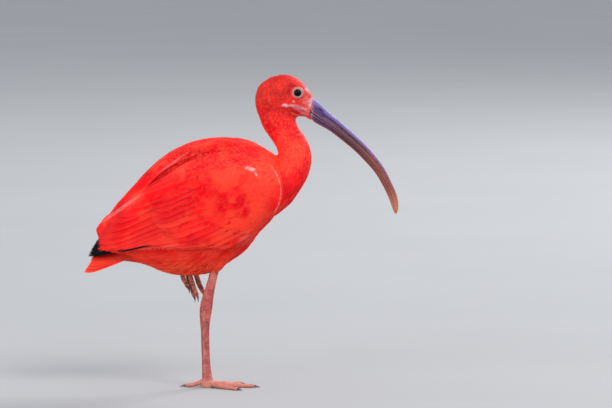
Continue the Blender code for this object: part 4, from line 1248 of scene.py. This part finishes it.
def eyes():
    """Finer balls in the place of the CAD ones, with the lids round them."""
    wet, ring = eye_material(), lid_material()
    x, z, out = EYE
    turns, rows = LID_TURNS, len(LID_SECTION)
    for side, word in SIDES:
        ball = sphere_at(f"eyeball_{word}", (x, side * out, z), EYE_RADIUS, 48, 32)
        dressed(ball, wet, "eye", f"eye_{word}")
        verts, faces = [], []
        for k in range(turns):
            angle = 2 * math.pi * k / turns
            wrinkle = 0.10 * math.sin(9 * angle) + 0.06 * math.sin(23 * angle + 1)
            for r, h in LID_SECTION:
                corner = 0.55 * max(0, math.cos(angle + 0.5)) ** 6 * (r > 3.6)
                reach = r * (1 - 0.07 * abs(math.sin(angle)) ** 3) + corner + wrinkle * (r > 5)
                across = Vector((reach * math.cos(angle), 0, reach * math.sin(angle)))
                verts.append(Vector((x + across.x, side * (LID_PLACE + h), z + across.z)) * MM)
        for k in range(turns):
            m = (k + 1) % turns
            for j in range(rows - 1):
                quad = (k * rows + j, k * rows + j + 1, m * rows + j + 1, m * rows + j)
                faces.append(quad if side == RIGHT else quad[::-1])
        dressed(mesh_object(f"lids_{word}", verts, faces), ring, "plumage")


def jaw(name, upper, material, rings=230, half=18):
    """One half of the bill with ridge, flank groove, growth rings, nostrils and cutting edge."""
    sections, rims, ridges, pits = [], [], [], []
    segment = (BILL[1][0] - BILL[0][0]) * (len(BILL) - 1)
    first = -BILL_ROOT / segment
    for i in range(rings):
        ring = []
        t = first + (1 - first) * i / (rings - 1)
        x, z, up, down, wide = along(BILL, max(t, 0))
        a, b = along(BILL, max(min(t + 0.01, 1), 0.01)), along(BILL, max(t - 0.01, 0))
        forward = Vector((a[0] - b[0], 0, a[1] - b[1])).normalized()
        rise = Vector((-forward.z, 0, forward.x))
        rise = rise.lerp(Vector((0, 0, 1)), min(1, max(0, 1 - t * 10))).normalized()
        if t < 0:
            step = t * segment
            x, z, up, wide = x + step, z - ROOT_SLOPE * step, up + 0.25 * step, wide + 0.12 * step
        depth, sign = (up, 1) if upper else (down, -1)
        at, deep = UPPER_GROOVE if upper else LOWER_GROOVE
        ends = min(1, max(0, t * 8)) * min(1, (1 - t) * 7)
        groove = deep * ends
        growth = GROWTH_HEIGHT * math.sin(t * GROWTH_RINGS) * math.exp(-max(t, 0) * GROWTH_FADE)
        gap = MOUTH_GAP * min(1, max(0.3, t * 12))
        for share in evenly(2 * half):
            u = share * 2 - 1
            angle = (1 - abs(u)) * math.pi / 2
            w, d = math.cos(angle) ** SECTION_WIDE, math.sin(angle) ** SECTION_DEEP
            dent = groove * math.exp(-(((d - at) / GROOVE_WIDTH) ** 2))
            pit = 0.0
            if upper:
                off, over = (t - NOSTRIL_AT) / NOSTRIL_LONG, (d - NOSTRIL_HEIGHT) / NOSTRIL_HIGH
                pit = math.exp(-((off**2 + over**2) ** 2))
            w = max(w - dent + growth - NOSTRIL_DEPTH * pit, 0)
            side = 1 if u > 0 else -1
            ring.append(Vector((x, side * w * wide, z)) + rise * sign * (depth * d + gap))
            rims.append(math.exp(-((d / RIM_WIDTH) ** 2)))
            ridges.append(sign * max(0, (d - 0.5) / 0.5))
            pits.append(pit)
        sections.append(ring)
    mesh = lofted(name, sections)
    mesh.shade_smooth()
    for word, values in (("rim", rims), ("ridge", ridges), ("pit", pits)):
        set_values(mesh, word, values)
    dressed(linked(name, mesh), material, "bill", "bill_upper" if upper else "bill_lower")


LEG_VOXEL, LEG_SMOOTHING, LEG_GROWN = 0.6, 3, 0.32
LEGS = {"right": ("shank", "tarsus", "foot"), "left": ("shank", "tarsus")}
TOES = ("toe_hind", "toe_inner", "toe_middle", "toe_outer")
STANDING = "right"
# Plates of the standing leg: their length and the depth of the furrows between them.
SHIN_PLATES, TOE_PLATES = (3.3, 0.16), (2.7, 0.18)


def furrows(where, place, step, depth):
    """Furrows between plates, a step apart along place."""
    return depth * where * (abs(np.sin(place * math.pi / step)) - 1)


def leg(word, nodes, material):
    """One skin for a whole leg, with the plates across its front and its toes' tops."""
    meshes = [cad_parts[node].data for node in nodes]
    skin = one_skin(f"leg_skin_{word}", meshes, LEG_VOXEL, LEG_SMOOTHING)
    places, normals = points_of(skin)
    p = places / MM
    rise = np.full(len(p), LEG_GROWN)
    if word == STANDING:
        front = np.clip(normals[:, 0] * 1.5 - 0.2, 0, 1) * (p[:, 2] > 14) * (p[:, 2] < 90)
        rise += furrows(front, p[:, 2], *SHIN_PLATES)
        far = np.hypot(p[:, 0], p[:, 1])
        top = np.clip(normals[:, 2] * 1.5 - 0.3, 0, 1) * (p[:, 2] < 10) * (far > 9)
        rise += furrows(top, far, *TOE_PLATES)
        rise *= np.clip(p[:, 2], 0, 1)
    places = places + normals * rise[:, None] * MM
    places[:, 2] = np.maximum(places[:, 2], 0)
    set_points(skin, places)
    skin.data.shade_smooth()
    dressed(skin, material, "leg_skin", *nodes)


def claws(material):
    """Rounder copies of the claws."""
    for name, node in sorted(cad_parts.items()):
        if not name.startswith("claw_"):
            continue
        obj = linked(f"nail{name[4:]}", node.data.copy())
        weld = obj.modifiers.new("weld", "WELD")
        weld.merge_threshold = 0.00001
        finer = obj.modifiers.new("finer", "SUBSURF")
        finer.levels = finer.render_levels = 2
        applied(obj)
        obj.data.shade_smooth()
        dressed(obj, material, "claw", name)


def filled(rows, number):
    """A row of feathers made up to this number between its stated ones."""
    flat = [(*r[0], *r[1], *r[2:]) for r in rows]
    made = [along(flat, t) for t in evenly(number)]
    return [((v[0], v[1]), (v[2], v[3]), *v[4:]) for v in made]


STATIONS = 11


def lay_row(coat, patterns, rows, side, rises, tilt, tone):
    """Lays wing feathers on its flesh, the first lowest. rises: heights at root, middle, tip."""
    for (a0, b0), (a1, b1), wide in rows:
        reach = 1 + RNG.uniform(-0.02, 0.008)
        drift = RNG.uniform(-0.8, 0.8)
        line = []
        for t in evenly(STATIONS):
            a = a0 + (a1 - a0) * t * reach
            b = b0 + (b1 - b0) * t + WING_BOW * math.sin(math.pi * t) + drift * t
            line.append(wing_point(a, b, bed_rise(a, b)[0] + along(rises, t)[0], side))
        place_long(coat, patterns, line, wide, tilt, tone)


def place_long(coat, patterns, line, wide, tilt, tone):
    """Adds one long feather along points with their normals."""
    centres, normals = [p for p, _ in line], [n for _, n in line]
    pattern = patterns[RNG.integers(len(patterns))]
    shade = float(np.clip(tone + RNG.normal(0, SHADE_SPREAD), 0, 1))
    coat.add(pattern, [centres], [normals], [wide * RNG.uniform(0.96, 1.05)], [shade], tilt)


def settled(ground, points, rises):
    """Points laid on the skin and lifted by the heights at root, middle and tip."""
    points, normals = ground.at(np.array(points))
    for _ in range(2):
        normals[1:-1] = unit(normals[:-2] + 2 * normals[1:-1] + normals[2:])
        points[1:-1] = (points[:-2] + 2 * points[1:-1] + points[2:]) / 4
    heights = [along(rises, t)[0] for t in evenly(len(points))]
    return list(zip(points + normals * np.array(heights)[:, None], normals))


def wings(red, black, unwrap, patterns):
    """Secondaries, greater coverts, tertials and black primaries of both wings."""
    for side, word in SIDES:
        flight = Coat(f"flight_{word}")
        for rows, number, rises, tone in WING_ROWS:
            lay_row(flight, patterns, filled(rows, number), side, rises, WING_TILT * side, tone)
        flight.make(red, unwrap, "wing_feathers", f"wing_{word}")
        tips = Coat(f"black_tips_{word}")
        outward = unit(np.array([0, side, 0.15]))
        for (a0, b0), (a1, b1), wide, height in filled(PRIMARIES[1:], 6) + PRIMARIES[:1]:
            line = []
            for t in evenly(STATIONS):
                b = b0 + (b1 - b0) * t + WING_BOW * math.sin(math.pi * t)
                line.append((wing_point(a0 + (a1 - a0) * t, b, height, side)[0], outward))
            place_long(tips, patterns, line, wide, PRIMARY_TILT * side, 0.5)
        tips.make(black, unwrap, "black_feathers", f"primaries_{word}")


def back(red, ground, unwrap, patterns):
    """The tiers of long feathers between the wings."""
    coat = Coat("scapular_feathers")
    for (x0, y0), (x1, y1), wide in SCAPULARS:
        for side in (RIGHT, LEFT):
            reach = 1 + RNG.uniform(-0.05, 0.02)
            line = []
            for t in evenly(STATIONS):
                x, y = x0 + (x1 - x0) * t * reach, side * (y0 + (y1 - y0) * t)
                line.append((x, y, back_level(x, y) + 4))
            line = settled(ground, line, (-0.2, 0.7, 1.0))
            place_long(coat, patterns, line, wide, 0.04 * side, 0.55)
    coat.make(red, unwrap, "wing_feathers", "scapulars")


def tail(material, unwrap, patterns):
    """The closed tail, each feather under the one nearer the middle."""
    root = np.array([TAIL_ROOT[0], 0, TAIL_ROOT[1]], float)
    tip = np.array([TAIL_TIP[0], 0, TAIL_TIP[1]], float)
    length = np.linalg.norm(tip - root)
    forward = (tip - root) / length
    up = np.array([forward[2], 0, -forward[0]])
    coat = Coat("tail_feathers")
    half = TAIL_FEATHERS // 2
    for place in reversed(range(half)):
        for side in (LEFT, RIGHT):
            out = (place + 0.5) / (half - 0.5)
            reach = length + TAIL_LONGER * out**2
            normal = unit(up + np.array([0, TAIL_LEAN * side, 0]))
            centres = []
            for t in evenly(STATIONS):
                spread = (TAIL_ROOT_SPREAD + (TAIL_TIP_SPREAD - TAIL_ROOT_SPREAD) * t) * out
                drop = TAIL_STEP * (place + (0.5 if side == LEFT else 0)) + TAIL_DROOP * out**2 * t
                aside = np.array([0, side * spread, 0])
                centres.append(root + forward * reach * t - up * drop + aside)
            tone = 0.85 - 0.5 * out + RNG.normal(0, 0.05)
            pattern = patterns[RNG.integers(len(patterns))]
            coat.add(pattern, [centres], [[normal] * STATIONS], [TAIL_HALF_WIDTH], [tone])
    coat.make(material, unwrap, "wing_feathers", "tail")


SMALL_STATIONS = 4
BELLY = (150, 172)  # heights between which the coat changes from hanging to lying close
BELLY_STIFF = 0.75
THROAT = (100, 116)  # and so x on the front of the neck
THROAT_STIFF = 0.6
THROAT_TOP = 300
UNEVEN = (0.85, 1.15)  # least and most of a small feather's stated length and width
SHADE_MIDDLE, SHADE_LUMPS, SHADE_SPREAD = 0.48, 0.55, 0.12
LUMP_SIZE = 14.0
SMALL_TILT = 0.04


def lay_small(coat, pattern, ground, roots, ways, sizes, spread, rise):
    """Lays small feathers from their roots along the skin; the belly's hang off it."""
    number = len(roots)
    stiff = np.interp(roots[:, 2], BELLY, (BELLY_STIFF, 0))
    throat = np.interp(roots[:, 0], THROAT, (0, THROAT_STIFF)) * (roots[:, 2] < THROAT_TOP)
    stiff = np.maximum(stiff, throat)[:, None]
    length = sizes[:, 0] * RNG.uniform(*UNEVEN, number)
    turn = RNG.normal(0, spread, number)[:, None]
    lift = (rise * length + RNG.uniform(-0.12, 0.12, number) - 0.1)[:, None]
    centres, normals = [], []
    p, n = ground.at(roots)
    for t in evenly(SMALL_STATIONS):
        centres.append(p + n * (-ROOT_DEPTH + (ROOT_DEPTH + lift) * t**0.85))
        normals.append(n)
        d = unit(ways - n * (ways * n).sum(1, keepdims=True))
        d = unit(d + np.cross(n, d) * turn)
        ahead = p + d * (length / (SMALL_STATIONS - 1))[:, None]
        p, n = ground.at(ahead)
        p = p + (ahead - p) * stiff
    lumps = np.array([noise.noise(Vector(r / LUMP_SIZE)) for r in roots])
    spots = RNG.normal(0, SHADE_SPREAD, number)
    shades = np.clip(SHADE_MIDDLE + SHADE_LUMPS * lumps + spots, 0, 1)
    halves = sizes[:, 1] / 2 * RNG.uniform(*UNEVEN, number)
    coat.add(pattern, np.stack(centres, 1), np.stack(normals, 1), halves, shades, SMALL_TILT)


COAT_PIECES = {
    "coat_head": ("head",),
    "coat_neck": ("neck_upper", "neck_lower"),
    "coat_body": ("torso",),
    "coat_back": ("back",),
    "coat_wing_right": ("wing_right",),
    "coat_wing_left": ("wing_left",),
}
COVERT_END = 112  # the small coverts stop this far along the wing
BACK_COAT_END = -30  # and this far back on the back
UNDER_BACK = (-20, 200)  # nor do they grow on the torso behind and above this x and z
FACE_END = (BILL[0][0] - 2, 300)  # or on the skin in front of and above this
# Kinds of small feather: shortest and longest, and how far their directions vary.
SMALL_FEATHERS = (("tuft", 0, 7.0, 0.22), ("plume", 7.0, 13.5, 0.14), ("feather", 13.5, 99, 0.10))


def body_coat(skin, regions, ground, soft, smooth, unwrap, patterns):
    """Small feathers all over the skin, each lying along the flow of the coat."""
    places, corner = scattered(skin, 3)
    regions = regions[corner]
    way, size = lie_at(places)
    x, z = places[:, 0], places[:, 2]
    along_wing = (WING_FRONT[0] - x) * WING_COS + (WING_FRONT[1] - z) * WING_SIN
    wing = np.isin(regions, ("wing_right", "wing_left"))
    closed = (regions == "head") & (bare(places) > BARE_LIMIT)
    closed |= wing & (along_wing > COVERT_END)
    closed |= (regions == "back") & (x < BACK_COAT_END)
    closed |= (regions == "torso") & (x < UNDER_BACK[0]) & (z > UNDER_BACK[1])
    closed |= (x > FACE_END[0]) & (z > FACE_END[1])
    index = np.flatnonzero(~closed)
    kept = spaced(places, size[:, 2], index[RNG.permutation(len(index))])
    for name, nodes in COAT_PIECES.items():
        coat = Coat(name)
        mine = kept[np.isin(regions[kept], nodes)]
        winged = name.startswith("coat_wing") or name == "coat_back"
        rise = WING_LIFT if winged else LIFT
        for kind, low, high, spread in SMALL_FEATHERS:
            length = size[mine, 0]
            chosen = mine[(length >= low) & (length < high)]
            if kind != "tuft" and winged:
                kind = "covert"
            picks = RNG.integers(len(patterns[kind]), size=len(chosen))
            for k, pattern in enumerate(patterns[kind]):
                batch = chosen[picks == k]
                if len(batch):
                    those = places[batch], way[batch], size[batch]
                    lay_small(coat, pattern, ground, *those, spread, rise)
        coat.make(smooth if winged else soft, unwrap, "plumage")


def aimed(name, data, place, target):
    """A lamp or camera at a place and turned towards another."""
    obj = linked(name, data)
    obj.location = place
    obj.rotation_euler = (target - place).to_track_quat("-Z", "Y").to_euler()
    return obj


def stage_and_light():
    """Pale floor, soft light and the camera of the photo."""
    bpy.ops.mesh.primitive_plane_add(size=FLOOR_SIZE, location=(0, 15, 0))
    floor = bpy.context.object
    floor.name = "floor"
    material, n = new_material("pale_floor", 0.9, 0.1)
    n.colour = n.mix(n.noise(400, 2), *FLOOR_COLOURS)
    n.paint()
    floor.data.materials.append(material)
    floor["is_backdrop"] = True
    world = bpy.data.worlds.new("studio")
    bpy.context.scene.world = world
    world.use_nodes = True
    sky = world.node_tree.nodes["Background"]
    sky.inputs[0].default_value = SKY
    sky.inputs[1].default_value = SKY_STRENGTH
    for name, place, size, power in LAMPS:
        lamp = bpy.data.lights.new(name, "AREA")
        lamp.energy = power
        lamp.size = size
        aimed(name, lamp, Vector(place), Vector(LAMP_AIM))
    camera = bpy.data.cameras.new("camera")
    camera.sensor_width = SENSOR
    camera.lens = SENSOR * CAMERA_DISTANCE / (PHOTO_WIDTH * PIXEL * MM)
    camera.clip_end = 60
    target = Vector(VIEW_MIDDLE) * MM
    rise = math.radians(CAMERA_ELEVATION)
    place = target + Vector((0, -math.cos(rise), math.sin(rise))) * CAMERA_DISTANCE
    bpy.context.scene.camera = aimed("camera", camera, place, target)
    bpy.context.scene.view_settings.view_transform = "Standard"


def main():
    skin, regions = one_body()
    ground, unwrap = Ground(skin), Unwrap(skin)
    dressed(skin, skin_material(), "plumage", *FLESH_NODES)

    patterns = {
        name: [vane_pattern(*form) for _ in range(number)]
        for name, (*form, number) in PATTERNS.items()
    }
    red = feather_material("scarlet_vanes", 0.14, 0.06, 1.1, 0.0)
    soft = feather_material("scarlet_plumage", 0.18, 0.25, 0.9, 0.65)
    body_coat(skin, regions, ground, soft, red, unwrap, patterns)
    wings(red, black_material(), unwrap, patterns["smooth"])
    back(red, ground, unwrap, patterns["flight"])
    tail(red, unwrap, patterns["smooth"])

    eyes()
    horn = horn_material()
    jaw("bill_top", True, horn)
    jaw("bill_bottom", False, horn)
    scales = leg_material()
    for word, parts in LEGS.items():
        leg(word, [f"{part}_{word}" for part in parts + TOES], scales)
    claws(claw_material())
    stage_and_light()

    sizes = {"cad": CAD_BOX, "visual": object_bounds()}
    sizes = {name: [[round(v, 5) for v in corner] for corner in box] for name, box in sizes.items()}


main()
